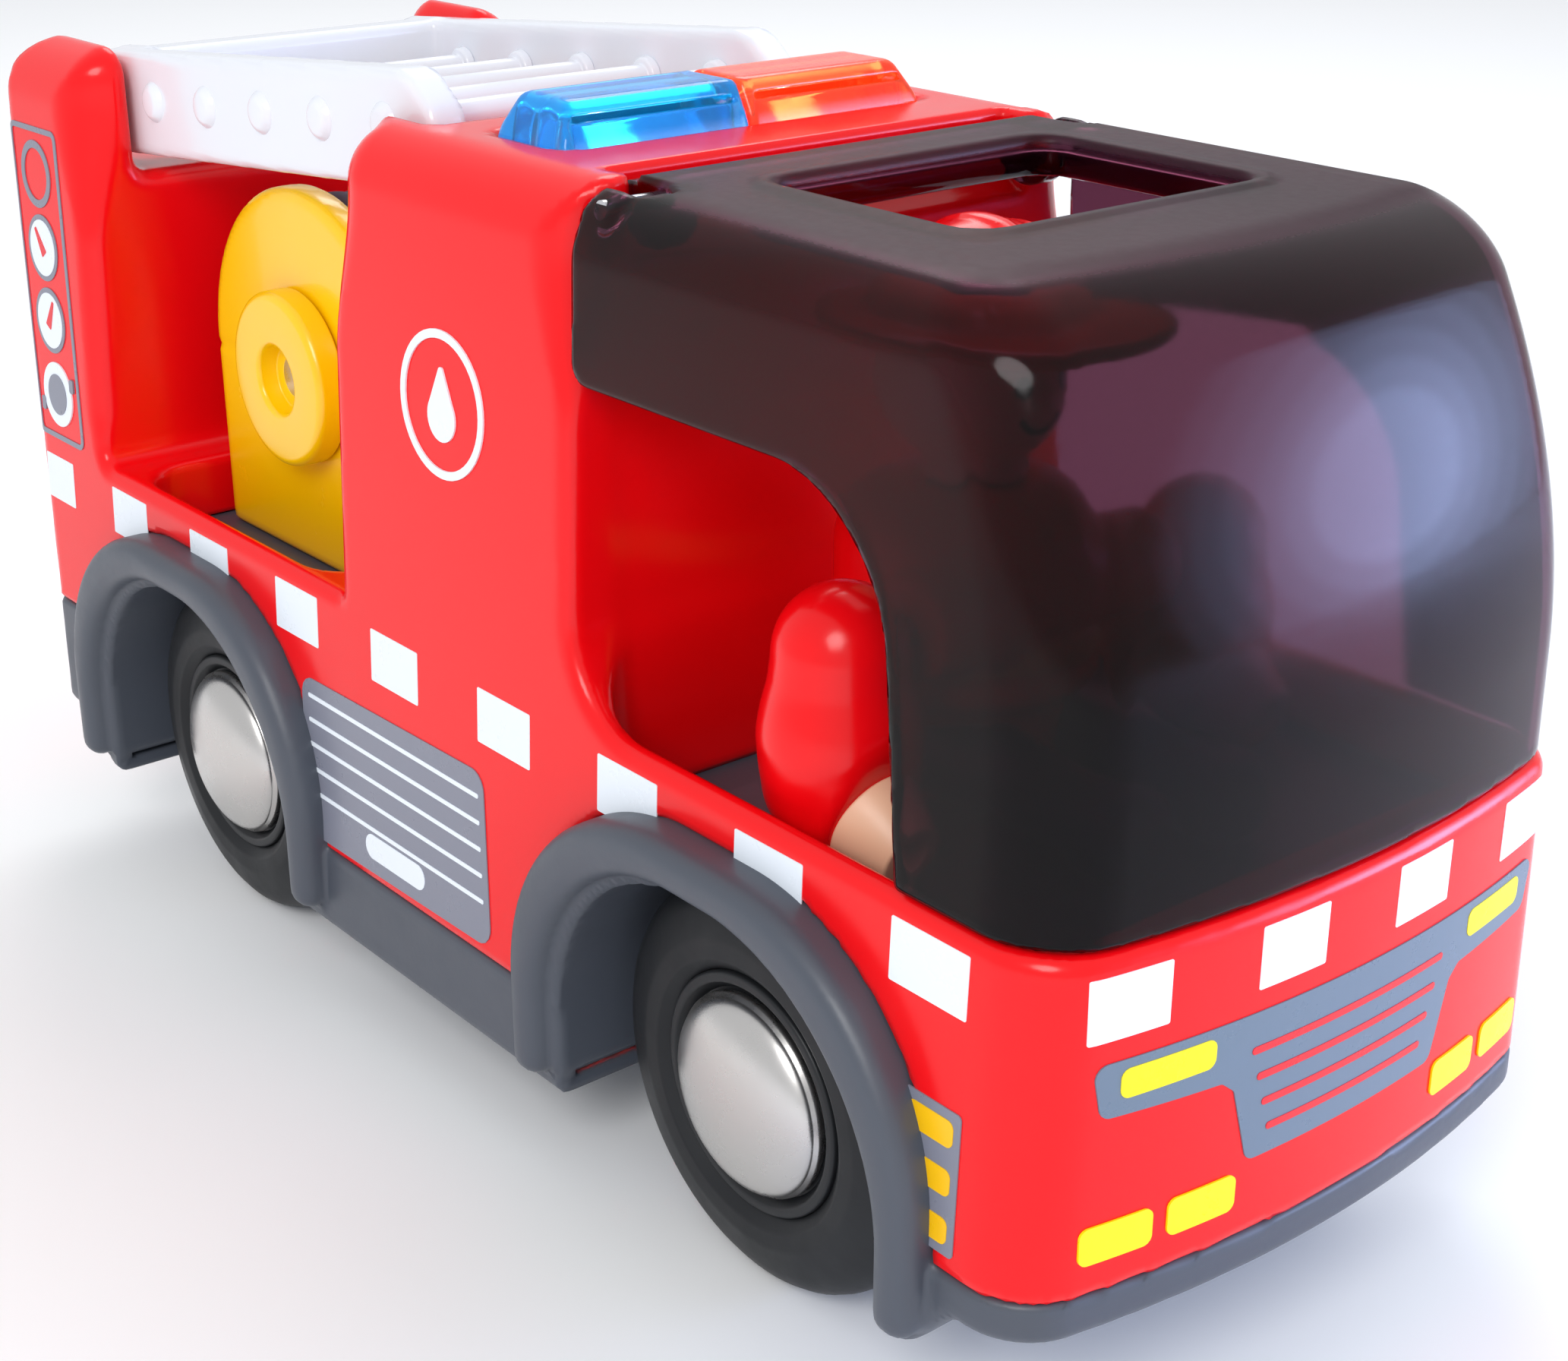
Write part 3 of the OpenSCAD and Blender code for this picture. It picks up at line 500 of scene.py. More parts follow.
RED = plastic("gloss red plastic", (0.90, 0.002, 0.005), (0.16, 0.24), shine=0.35)
GREY = plastic("slate grey plastic", (0.068, 0.078, 0.100), (0.36, 0.46), height=0.00004)
TYRE = plastic("black tyre rubber", (0.011, 0.012, 0.014), (0.42, 0.55), grain=600.0, height=0.00006,
               shine=0.3)
CORE = plastic("black wheel core", (0.014, 0.015, 0.017), (0.35, 0.45), shine=0.3)
WHITE = plastic("gloss white plastic", (0.82, 0.84, 0.90), (0.18, 0.26), coat=0.3, drift=0.015)
YELLOW = plastic("gloss yellow plastic", (1.0, 0.60, 0.0), (0.2, 0.28), coat=0.3)
SKIN = plastic("skin tone plastic", (0.93, 0.56, 0.36), (0.35, 0.45))
NAVY = plastic("navy plastic", (0.020, 0.028, 0.10), (0.3, 0.4))
AMBER = plastic("jacket band yellow", (0.85, 0.55, 0.05), (0.3, 0.4))
CAP = plastic("satin silver cap", (0.62, 0.60, 0.58), (0.22, 0.34), grain=1500.0, metal=1.0, drift=0.03)
STEEL = plastic("plated steel", (0.55, 0.55, 0.57), (0.2, 0.35), metal=1.0)
GREEN = plastic("circuit board green", (0.02, 0.18, 0.06), (0.3, 0.45))
BLACK = plastic("black plastic", (0.018, 0.018, 0.02), (0.35, 0.5))
HOSE = plastic("woven hose", (0.055, 0.028, 0.060), (0.6, 0.8), grain=2500.0, height=0.0001, drift=0.2)
BLUE_LENS = clear("blue lens", (0.01, 0.50, 0.90), (0.12, 0.2), 0.12, (0.0, 0.42, 1.0))
RED_LENS = clear("red lens", (1.0, 0.12, 0.03), (0.12, 0.2), 0.16, (1.0, 0.13, 0.02))
LAMP = glowing("lit lamp", (1.0, 0.95, 0.85), 110.0)
INK_WHITE = plastic("white print", (0.83, 0.89, 0.96), (0.25, 0.33), drift=0.02, height=0)
INK_GREY = plastic("grey print", (0.22, 0.23, 0.29), (0.25, 0.33), drift=0.02, height=0)
INK_FRONT = plastic("blue grey print", (0.14, 0.19, 0.25), (0.25, 0.33), drift=0.02, height=0)
INK_YELLOW = plastic("yellow print", (1.0, 0.80, 0.0), (0.25, 0.33), drift=0.02, height=0)
INK_AMBER = plastic("amber print", (1.0, 0.55, 0.0), (0.25, 0.33), drift=0.02, height=0)
INK_RED = plastic("red print", (0.80, 0.010, 0.02), (0.25, 0.33), drift=0.02, height=0)
INK_BLACK = plastic("black print", (0.012, 0.012, 0.014), (0.25, 0.33), drift=0.02, height=0)


# ---------------------------------------------------------------- moulded shapes
def side_face(y, z):
    """Distance outside the leaning side walls."""
    return (np.abs(y) - BELT_HALF_W + SIDE_LEAN * (z - BELT_Z)) / math.hypot(1, SIDE_LEAN)


def plan(x, y, z):
    """Outline seen from above, with round vertical corners."""
    bow = np.hypot(x - BOW_X, y) - BOW_R
    rear = -HALF_LEN + REAR_LEAN * np.maximum(ROOF_Z - 12 - z, 0) - x
    return both(both(side_face(y, z), bow, CORNER_R), rear, REAR_CORNER_R)


def arch(x, z, grow, bottom=-60.0):
    """Wheel arch outlines in side view, grown outward."""
    top = FENDER_TOP - RIM
    return rect(np.abs(x) - AXLE_X, z, -ARCH_HALF_W - grow, ARCH_HALF_W + grow, bottom, top + grow,
                ARCH_R + 0.4 * grow)


def pit(x, y, grow):
    """Outlines of the two pits seen from above."""
    half = PIT_HALF_W + grow
    return np.minimum(*[rect(x, y, start - grow, end + grow, -half, half, PIT_R + grow)
                        for start, end in PIT_SPANS])


def pit_floor(x):
    """Height of the floor in the pits, lower in the foot well behind the driver."""
    return np.where((x > BLOCK_FRONT_X - PIT_WALL) & (x < WELL_X), WELL_Z, PIT_Z)


def body_outer(x, y, z):
    """Outside of the red body before its cut-outs."""
    horn = both(x - REAR_WALL_X, z - ROOF_Z, 5.0)
    middle = both(x - BLOCK_FRONT_X, z - ROOF_Z, 0.8)
    middle = both(middle, BLOCK_REAR_X - x, 0.8 + 6.5 * ramp(np.abs(y), 30, 36))
    profile = either(z - BELT_Z, horn, 3.0)
    profile = either(profile, middle, 1.2 + 11.8 * ramp(x, -5, 15))
    edge = 2.0 + (ROOF_EDGE_R - 2.0) * ramp(z, 100, 122) + 1.6 * ramp(-x, 84, 92) * ramp(z, 68, 76)
    return both(plan(x, y, z), profile, edge)


def ladder_notch(x, y, z):
    """Gap between the rear horns."""
    return np.maximum(both(np.abs(y) - NOTCH_HALF_W, NOTCH_Z - z, 2.5), x + 60)


def ladder_recess(x, y, z):
    """Step in the roof under the ladder's front end."""
    width = both(np.abs(y) - NOTCH_HALF_W, RECESS_Z - z, 2.0)
    return np.maximum(both(width, x - RECESS_X, 2.0), -x - 60)


def hinge_pocket(x, y, z):
    """Round pocket for the canopy's tongue."""
    return np.maximum(np.hypot(x - HINGE_X, z - HINGE_Z) - POCKET_R, np.abs(y) - EAR_Y0)


lens_low, lens_high = mm_box("lens_blue")
BAR_X0 = lens_low[0]
BAR_X1 = lens_high[0]
BAR_HALF_W = -lens_low[1]
BAR_TOP = lens_high[2]
WELL_GAP = 0.6


def light_well(x, y, z):
    """Opening for the light bar."""
    half = BAR_HALF_W + WELL_GAP
    outline = rect(x, y, BAR_X0 - WELL_GAP, BAR_X1 + WELL_GAP, -half, half, 3.2)
    return np.maximum(outline, ROOF_Z - 10 - z)


def red_body(x, y, z):
    """Red upper moulding."""
    ay = np.abs(y)
    outer = body_outer(x, y, z)
    solid = without(outer, ladder_notch(x, y, z), 2.6)
    solid = without(solid, ladder_recess(x, y, z), 1.2)
    solid = without(solid, light_well(x, y, z), 1.0)
    solid = without(solid, hinge_pocket(x, y, z), 0.7)
    ear = np.minimum(np.hypot(x - HINGE_X, z - HINGE_Z) - KNUCKLE_R,
                     rect(x, z, BLOCK_FRONT_X - 4, HINGE_X, HINGE_Z - KNUCKLE_R, HINGE_Z + KNUCKLE_R))
    ear = both(ear, np.abs(ay - (EAR_Y0 + EAR_Y1) / 2) - (EAR_Y1 - EAR_Y0) / 2, 0.5)
    solid = np.minimum(solid, ear)
    solid = without(solid, pit(x, y, 0), 1.2)
    hollow = np.maximum(outer + WALL, -(pit(x, y, PIT_WALL)))
    hollow = np.maximum(hollow, -(ladder_notch(x, y, z) - WALL))
    hollow = np.maximum(hollow, -(ladder_recess(x, y, z) - WALL))
    hollow = np.maximum(hollow, -(hinge_pocket(x, y, z) - WALL))
    hollow = np.where(z < pit_floor(x) - 3, outer + WALL, hollow)
    solid = without(solid, hollow, 0.3)
    beside_pits = PIT_HALF_W + PIT_WALL + 0.2 - ay
    behind_fenders = np.maximum(ARCH_Y - ay, z - WELL_Z + 1)
    wheels = np.maximum(arch(x, z, RIM + 0.05), np.minimum(beside_pits, behind_fenders))
    wheels = np.minimum(wheels, np.maximum(arch(x, z, 0.15), ARCH_Y - ay))
    solid = without(solid, wheels, 0.2)
    bottom = np.where(x < -AXLE_X, REAR_SPLIT_Z, SPLIT_Z) - z
    bottom = np.where(pit(x, y, PIT_WALL + 0.1) < 0, pit_floor(x) - z, bottom)
    return both(solid, bottom, 0.3)


def floor_height(x):
    """Height of the chassis underside, which rises at both ends."""
    return SKIRT_Z + (NOSE_Z - SKIRT_Z) * ramp(np.abs(x), AXLE_X + 32.5, AXLE_X + 42)


DOOR_LOW, DOOR_HIGH = mm_box("battery_door")
# The CAD's rear screws would come through the leaning rear wall, so that pair stands further forward
REAR_SCREW_X = -106.0
SCREWS = [(-113.2, 30), (-113.2, -30), (0, 38.6), (0, -38.6), (112, 20), (112, -20)]


def grey_chassis(x, y, z):
    """Grey lower moulding with fender arches and wheel tunnels."""
    ay = np.abs(y)
    walls = plan(x, y, z)
    under = floor_height(x) - z
    split = np.where(x < -AXLE_X, REAR_SPLIT_Z, SPLIT_Z)
    tray = both(walls, under, 2.2)
    tray = both(tray, z - split + 0.15, 0.5)
    tray = without(tray, np.maximum(walls + WALL, under + WALL), 0.4)
    tray = np.maximum(tray, -np.maximum(arch(x, z, -0.6), TUNNEL_Y - 1.0 - ay))
    lining = both(arch(x, z, 0), -arch(x, z, -1.2), 0.3)
    lining = np.maximum(lining, np.maximum(TUNNEL_Y - 1.6 - ay, ay - 46))
    end_wall = np.maximum(arch(x, z, -0.3), np.abs(ay - TUNNEL_Y + 0.8) - 0.8)
    tunnel = np.maximum(np.minimum(lining, end_wall), LEG_Z - z)
    lip = both(both(arch(x, z, RIM), -arch(x, z, 0), 2.0), ay - FENDER_Y, 2.6)
    lip = both(lip, LEG_Z - z, 2.5)
    lip = np.maximum(lip, BELT_HALF_W - 1.6 - ay)
    solid = either(np.minimum(tray, tunnel), lip, 0.4)
    door = rect(x, y, DOOR_LOW[0] - 0.4, DOOR_HIGH[0] + 0.4, DOOR_LOW[1] - 0.4, DOOR_HIGH[1] + 0.4, 1.5)
    solid = without(solid, np.maximum(door, z - SKIRT_Z - 5), 0.4)
    for sx, sy in SCREWS:
        sx = max(sx, REAR_SCREW_X)
        hole = np.maximum(np.hypot(x - sx, y - sy) - 2.7, z - floor_height(x) - 1.2)
        solid = without(solid, hole, 0.25)
    return solid


CANOPY_T = 2.0
CANOPY_BOTTOM = BELT_Z + 0.3
LEAN_Z = 80.0
LEAN_RATE = 0.0059


def cab_outer(x, y, z):
    """Outside of the cab canopy."""
    rise = np.maximum(z - LEAN_Z, 0)
    screen = np.hypot(x - BOW_X, y) - BOW_R + 0.4 + LEAN_RATE * rise ** 2
    screen = screen / np.hypot(1, 2 * LEAN_RATE * rise)
    body = both(side_face(y, z), screen, 9.0)
    return both(body, z - ROOF_Z, 8.5)


def side_window(x, z):
    """Side window openings in side view."""
    front = (x - 92.1 + 0.127 * (z - BELT_Z)) / 1.008
    return both(front, z - 107.4, 16.4)


SUNROOF = (46.1, 80.3, 22.4)


def tinted_canopy(x, y, z):
    """Hinged see-through canopy."""
    ay = np.abs(y)
    outer = cab_outer(x, y, z)
    shell = without(outer, outer + CANOPY_T, 0.0)
    back = both(BLOCK_FRONT_X + 0.3 - x, z - ROOF_Z, KNUCKLE_R)
    tongue = np.maximum(np.maximum(29.6 - x, ay - 31.2), HINGE_Z - 1 - z)
    start, end, half = SUNROOF
    rim = np.maximum(rect(x, y, start - 2, end + 2, -half - 2, half + 2, 5.5), ROOF_Z - 5 - z)
    thick = np.maximum(outer, rim)
    shell = either(shell, thick, 1.0)
    window = side_window(x, z)
    sides = both(-window, BLOCK_FRONT_X + 0.3 - x, 3.0)
    part = both(shell, sides, 0.8)
    part = both(part, CANOPY_BOTTOM - z, 0.8)
    region = np.minimum(back, tongue)
    part = both(part, region, 0.4)
    lug = both(np.hypot(x - HINGE_X, z - HINGE_Z) - 2.78, np.abs(ay - 37.2) - 1.8, 0.4)
    lug = both(lug, outer, 0.4)
    inner_lug = both(np.hypot(x - HINGE_X, z - HINGE_Z) - 5.5, np.abs(ay - 29.4) - 1.8, 0.4)
    inner_lug = np.maximum(inner_lug, z - ROOF_Z + 1)
    part = np.minimum(either(part, lug, 1.0), inner_lug)
    slot = np.abs(ay - 33.3) + 0.5 - 2.6 * np.clip((HINGE_X + 8.4 - x) / 5.3, 0, 1)
    part = without(part, slot, 0.4)
    hole = rect(x, y, start, end, -half, half, 4.0)
    return without(part, np.maximum(hole, 100 - z), 1.2)


STEP = 1.0
moulded("moulded_body", red_body, "body_shell", STEP, "truck", "red_plastic", RED)
moulded("moulded_chassis", grey_chassis, "chassis", STEP, "truck", "grey_plastic", GREY)
moulded("moulded_canopy", tinted_canopy, "canopy", STEP * 0.8, "canopy", "tinted_plastic", TINT)


# ---------------------------------------------------------------- wheels
tyre_low, tyre_high = mm_box("tyre_front_left")
TYRE_IN = tyre_low[1]
TYRE_OUT = tyre_high[1]
cap_low, cap_high = mm_box("hub_cap_front_left")
CAP_R = (cap_high[0] - cap_low[0]) / 2
CAP_APEX = cap_high[1]


def tyre_profile():
    """Solid rubber tyre with a soft shoulder and a shallow bead ring."""
    return rounded([(15.5, TYRE_IN + 0.6), (15.5, TYRE_OUT - 1.4), (17.2, TYRE_OUT), (19.5, TYRE_OUT),
                    (TYRE_R, TYRE_OUT - 2.0), (TYRE_R, TYRE_IN), (17.5, TYRE_IN)],
                   [0, 0.6, 0.8, 3, 5.5, 2.5, 1.0])


def core_profile():
    """Wheel core with a well for the cap and a hub boss inside."""
    return rounded([(1.8, TYRE_IN + 0.8), (5, TYRE_IN + 0.8), (6, TYRE_IN + 5), (12.5, TYRE_IN + 5),
                    (13.5, TYRE_IN + 0.8), (15.5, TYRE_IN + 0.8), (15.5, TYRE_OUT - 0.6),
                    (14.2, TYRE_OUT - 0.6),
                    (CAP_R + 0.2, TYRE_OUT - 2), (1.8, TYRE_OUT - 2)],
                   [0, 0.6, 0.6, 0.6, 0.6, 0, 0.5, 0.5, 0.2, 0])


def cap_profile():
    """Plain domed cap with a rolled edge and a fine step ring."""
    points = [(0, TYRE_OUT - 1.9), (CAP_R - 0.3, TYRE_OUT - 1.9), (CAP_R, TYRE_OUT - 1.2),
              (CAP_R - 0.1, TYRE_OUT - 0.6)]
    rise = CAP_APEX - TYRE_OUT + 0.3
    for i in range(25):
        t = i / 24
        r = (CAP_R - 0.5) * math.cos(t * math.pi / 2)
        points.append((r, TYRE_OUT - 0.3 + rise * math.sin(t * math.pi / 2) ** 1.15))
    return points


for end, sign in AXLES.items():
    for name, side in SIDES.items():
        spot = to_side(sign * AXLE_X, TYRE_R, side)
        body = f"{end}_wheels"
        which = f"{end}_{name}"
        turned(f"tyre_{which}_rubber", tyre_profile(), spot, body, "black_tyre", TYRE, f"tyre_{which}")
        turned(f"core_{which}_moulding", core_profile(), spot, body, "black_plastic", CORE,
               f"core_{which}")
        turned(f"cap_{which}_dome", cap_profile(), spot, body, "silver_cap", CAP, f"hub_cap_{which}")


# ---------------------------------------------------------------- screws under the chassis
def chassis_screws():
    """The screws of the CAD node, with the rear pair moved in behind the leaning rear wall."""
    node = frame["nodes"]["chassis_screws"]
    points = np.array([node.matrix_world @ v.co for v in node.data.vertices]) / MM
    rear = points[:, 0] < REAR_WALL_X
    points[rear, 0] += REAR_SCREW_X - SCREWS[0][0]
    faces = [list(p.vertices) for p in node.data.polygons]
    obj = as_object("chassis_screws_plated", points, faces, smooth=False)
    finish_piece(obj, "truck", "steel", STEEL, "chassis_screws")


chassis_screws()


# ---------------------------------------------------------------- light bar
LENS_T = 1.6
FLUTE_PITCH = 5.2


def lens_field(side):
    """One half of the light bar: a hollow cap with sloping upper faces, fluted lengthwise inside."""
    shoulder = ROOF_Z

    def slope(distance, rise, run):
        return (distance * (BAR_TOP - shoulder) + rise * run) / math.hypot(BAR_TOP - shoulder, run)

    def field(x, y, z):
        out = side * y
        rise = z - shoulder
        body = block(x, out, z, (BAR_X0, 0.1, lens_low[2]), (BAR_X1, BAR_HALF_W, BAR_TOP), 0.9)
        body = both(body, slope(x - BAR_X1, rise, 2.8), 0.9)
        body = both(body, slope(BAR_X0 - x, rise, 2.2), 0.9)
        body = both(body, slope(out - BAR_HALF_W, rise, 2.6), 0.9)
        inner_high = (BAR_X1 - LENS_T, BAR_HALF_W - 2.4, BAR_TOP - LENS_T)
        inner = block(x, out, z, (BAR_X0 + LENS_T, 1.7, 100), inner_high, 0.8)
        flutes = 0.35 * np.cos((x - BAR_X0) * 2 * math.pi / FLUTE_PITCH)
        return without(body, inner + 0.35 + flutes, 0.2)
    return field


for name, side, clear_material in (("blue", -1, BLUE_LENS), ("red", 1, RED_LENS)):
    moulded(f"lens_{name}_moulding", lens_field(side), f"lens_{name}", 0.6, "light_bar", f"{name}_lens",
            clear_material)


def coil_spring():
    """Return spring under the light bar, with closed end turns."""
    low, high = mm_box("button_spring")
    centre = (low + high) / 2
    wire = 0.4
    turns = 7.5
    steps = 360
    t = np.linspace(0, 1, steps)
    rise = low[2] + wire + (high[2] - low[2] - 2 * wire) * np.clip((t - 0.1) / 0.8, 0, 1)
    angle = 2 * math.pi * turns * t
    r = (high[0] - low[0]) / 2 - wire
    path = np.stack([centre[0] + r * np.cos(angle), centre[1] + r * np.sin(angle), rise], 1)
    points, faces = sweep(path, wire, 8)
    spring = finish_piece(as_object("return_spring", points, faces), "truck", "steel", STEEL, "button_spring")
    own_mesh(spring)


coil_spring()


# ---------------------------------------------------------------- ladder
LADDER_TILT = math.radians(4.9)
LADDER_HALF_W = 30.4
RAIL_T = 5.6
RAIL_HALF = 7.7
LADDER_END = 95.3
RUNG_START = 16.4
RUNG_PITCH = 16.8
RUNG_V = 0.5
RUNGS = [RUNG_START + RUNG_PITCH * i for i in range(5)]


def in_ladder(x, z):
    """Ladder coordinates: u runs forward from the pivot, v across the rails."""
    dx, dz = x - PIVOT_X, z - PIVOT_Z
    c, s = math.cos(LADDER_TILT), math.sin(LADDER_TILT)
    return dx * c + dz * s, dz * c - dx * s


def from_ladder(p):
    """Ladder points (u, y, v) in the frame."""
    c, s = math.cos(LADDER_TILT), math.sin(LADDER_TILT)
    return np.stack([PIVOT_X + p[:, 0] * c - p[:, 2] * s, p[:, 1], PIVOT_Z + p[:, 0] * s + p[:, 2] * c], 1)


def ladder_frame(x, y, z):
    """Two rails with a broad rear crossbar, round at the pivot and chamfered in front."""
    u, v = in_ladder(x, z)
    ay = np.abs(y)
    outline = np.minimum(np.hypot(u, v) - RAIL_HALF, rect(u, v, 0, LADDER_END, -RAIL_HALF, RAIL_HALF, 0.8))
    chamfer = ((u - LADDER_END) * 5.2 + (v - 2.5) * 6.0) / math.hypot(5.2, 6.0)
    outline = both(outline, chamfer, 1.5)
    mid = LADDER_HALF_W - RAIL_T / 2
    rails = both(outline, np.abs(ay - mid) - RAIL_T / 2, 1.1)
    bar = block(u, y, v, (-1, -27, -RAIL_HALF + 0.6), (8.4, 27, RAIL_HALF - 0.05), 1.2)
    solid = either(rails, bar, 1.5)
    bore = np.maximum(np.hypot(u, v) - 2.06, mid - RAIL_T - ay)
    return without(solid, bore, 0.3)


moulded("ladder_moulding", ladder_frame, "ladder_frame", STEP, "ladder", "white_plastic", WHITE)


def ladder_rungs():
    """Round rungs, each ending in a domed stud on both rails' outer faces."""
    w = LADDER_HALF_W
    half = rounded([(0, 0), (0, w + 1.15), (2.2, w + 1.0), (3.2, w - 0.2), (2.0, w - 0.4),
                    (2.0, w - RAIL_T + 0.2), (3.2, w - RAIL_T - 0.1), (2.9, w - RAIL_T - 1.4),
                    (2.0, w - RAIL_T - 1.5), (2.0, 0)],
                   [0, 0, 1.4, 0.2, 0, 0, 0.2, 0.5, 0.3, 0])
    p, quads = lathe(half, 40)
    parts = [(from_ladder(np.stack([u + p[:, 0], side * p[:, 2], RUNG_V + p[:, 1]], 1)), quads)
             for u in RUNGS for side in SIDES.values()]
    obj = welded(as_object("ladder_rung_bars", *joined(parts)))
    finish_piece(obj, "ladder", "white_plastic", WHITE, "ladder_rungs")


ladder_rungs()


# ---------------------------------------------------------------- hose reel
cheek_low, cheek_high = mm_box("reel_cheek_left")
CHEEK_R = (cheek_high[0] - cheek_low[0]) / 2
HOSE_R = (mm_box("reel_hose")[1][0] - mm_box("reel_hose")[0][0]) / 2
HOSE_HALF_W = mm_box("reel_hose")[1][1]
ROPE_R = 2.3
ROPE_STRANDS = 3
ROPE_LAY = 0.24


def cheek_field(side):
    """Reel cheek: flat sides, round top and rounded feet."""
    def field(x, y, z):
        top = np.hypot(x - REEL_X, z - REEL_Z) - CHEEK_R
        foot = rect(x, z, REEL_X - CHEEK_R, REEL_X + CHEEK_R, PIT_Z, REEL_Z, 1.5)
        foot = np.maximum(foot, z - REEL_Z)
        outline = np.where(z > REEL_Z, top, foot)
        middle = (cheek_low[1] + cheek_high[1]) / 2
        plate = both(outline, np.abs(side * y - middle) - (cheek_high[1] - cheek_low[1]) / 2, 1.5)
        return without(plate, np.hypot(x - REEL_X, z - REEL_Z) - 3.06, 0.3)
    return field


knob_low, knob_high = mm_box("reel_knob_left")
KNOB_R = (knob_high[0] - knob_low[0]) / 2
for name, side in SIDES.items():
    moulded(f"reel_cheek_{name}_moulding", cheek_field(side), f"reel_cheek_{name}", STEP, "truck",
            "yellow_plastic", YELLOW)
    knob = rounded([(3.0, knob_low[1]), (3.0, knob_low[1] + 1.3), (4.8, knob_low[1] + 1.4),
                    (5.1, knob_high[1]), (KNOB_R - 0.1, knob_high[1]), (KNOB_R, knob_low[1])],
                   [0, 0.2, 0.3, 0.8, 1.3, 0.5])
    turned(f"reel_knob_{name}_moulding", knob, to_side(REEL_X, REEL_Z, side), "reel", "yellow_plastic",
           YELLOW, f"reel_knob_{name}")


def rope_lay(i, angle):
    """Radius factor of a rope laid from strands, at step i of its path."""
    return 0.93 + 0.07 * np.abs(np.cos(ROPE_STRANDS * (angle + i * ROPE_LAY) / 2)) ** 0.7


def wound_hose():
    """Outer layers of the wound hose: a laid rope in turns side by side, two layers deep."""
    parts = []
    for layer in range(2):
        r = HOSE_R - ROPE_R - layer * 1.8 * ROPE_R
        turns = (2 * HOSE_HALF_W - 2 * ROPE_R) / (2 * ROPE_R)
        steps = int(turns * 90)
        t = np.linspace(0, 1, steps)
        angle = 2 * math.pi * turns * t * (1 if layer == 0 else -1)
        across = -HOSE_HALF_W + ROPE_R + t * (2 * HOSE_HALF_W - 2 * ROPE_R)
        path = np.stack([REEL_X + r * np.cos(angle), across, REEL_Z + r * np.sin(angle)], 1)
        parts.append(sweep(path, ROPE_R, 18, rope_lay))
    finish_piece(as_object("wound_hose", *joined(parts)), "reel", "hose_rope", HOSE, "reel_hose")


wound_hose()


# ---------------------------------------------------------------- driver
TORSO_TOP = mm_box("driver_torso")[1][2]
DRIVER_X = joint_mm("head_turn")[0]
SHOULDER_X, ARM_Y, SHOULDER_Z = np.abs(joint_mm("shoulder_left"))
CUFF = (74.4, 64.0)
CUFF_R = 7.2
CUFF_DROP = math.radians(20)
HIP_R = 12.2
CHEST_R = 17.0
BAND_Z = 75.0


def torso(x, y, z):
    """Jacket: narrow at the hips, wide at the chest, round at the shoulders, with a button placket."""
    r = np.hypot(x - DRIVER_X, y)
    radius = HIP_R + (CHEST_R - 0.1 - HIP_R) * ramp(z, PIT_Z + 10, PIT_Z + 15.5)
    body = both(r - radius, z - TORSO_TOP, 8.0)
    body = both(body, PIT_Z - z, 1.0)
    yoke = both(np.hypot(x - SHOULDER_X, z - SHOULDER_Z) - 6.4, np.abs(y) - 19.5, 1.5)
    body = either(body, yoke, 2.0)
    collar = both(np.abs(r - 7.2) - 1.2, z - TORSO_TOP, 0.5)
    body = either(body, both(collar, TORSO_TOP - 4 - z, 0.3), 0.8)
    placket = np.maximum(np.abs(np.abs(y) - 2.0) - 0.22, DRIVER_X - x)
    return without(body, np.maximum(placket, -(body + 0.45)), 0.2)


def jacket_band(x, y, z):
    """Reflective band round the jacket."""
    r = np.hypot(x - DRIVER_X, y)
    return both(np.abs(r - CHEST_R + 0.4) - 0.75, np.abs(z - BAND_Z - 2) - 2.0, 0.35)


def legs(x, y, z):
    """Seated legs with round knees and blunt boots."""
    ay = np.abs(y)
    leg = capsule(x, ay, z, (DRIVER_X + 4, 8, PIT_Z + 5.5), (DRIVER_X + 28, 8, PIT_Z + 5.5), 5.3, 5.0)
    boot = block(x, ay, z, (DRIVER_X + 28, 3.2, PIT_Z + 0.2), (DRIVER_X + 38, 12.8, PIT_Z + 10.6), 3.2)
    return np.maximum(either(leg, boot, 1.5), HIP_R - 0.5 - np.hypot(x - DRIVER_X, y))


def arm_field(side):
    """Egg-shaped sleeve with a short forearm that ends in a cuff."""
    c, d = math.cos(CUFF_DROP), math.sin(CUFF_DROP)

    def field(x, y, z):
        out = side * y
        shoulder, swell, elbow = [(SHOULDER_X, ARM_Y, height) for height in (SHOULDER_Z, 72.5, 66.0)]
        upper = either(capsule(x, out, z, shoulder, swell, 8.1, 9.2),
                       capsule(x, out, z, swell, elbow, 9.2, 8.2), 2.0)
        start = (CUFF[0] - 9 * c, ARM_Y, CUFF[1] + 9 * d)
        end = (CUFF[0] + 4 * c, ARM_Y, CUFF[1] - 4 * d)
        sleeve = either(upper, capsule(x, out, z, start, end, CUFF_R - 0.3, CUFF_R - 0.1), 3.0)
        beyond = (x - CUFF[0]) * c - (z - CUFF[1]) * d
        sleeve = both(sleeve, beyond, 1.0)
        return both(sleeve, 57.5 - z, 0.6)
    return field


HEAD_TOP = mm_box("driver_head")[1][2]
HEAD_Z = 108.0
HEAD_R = 12.4


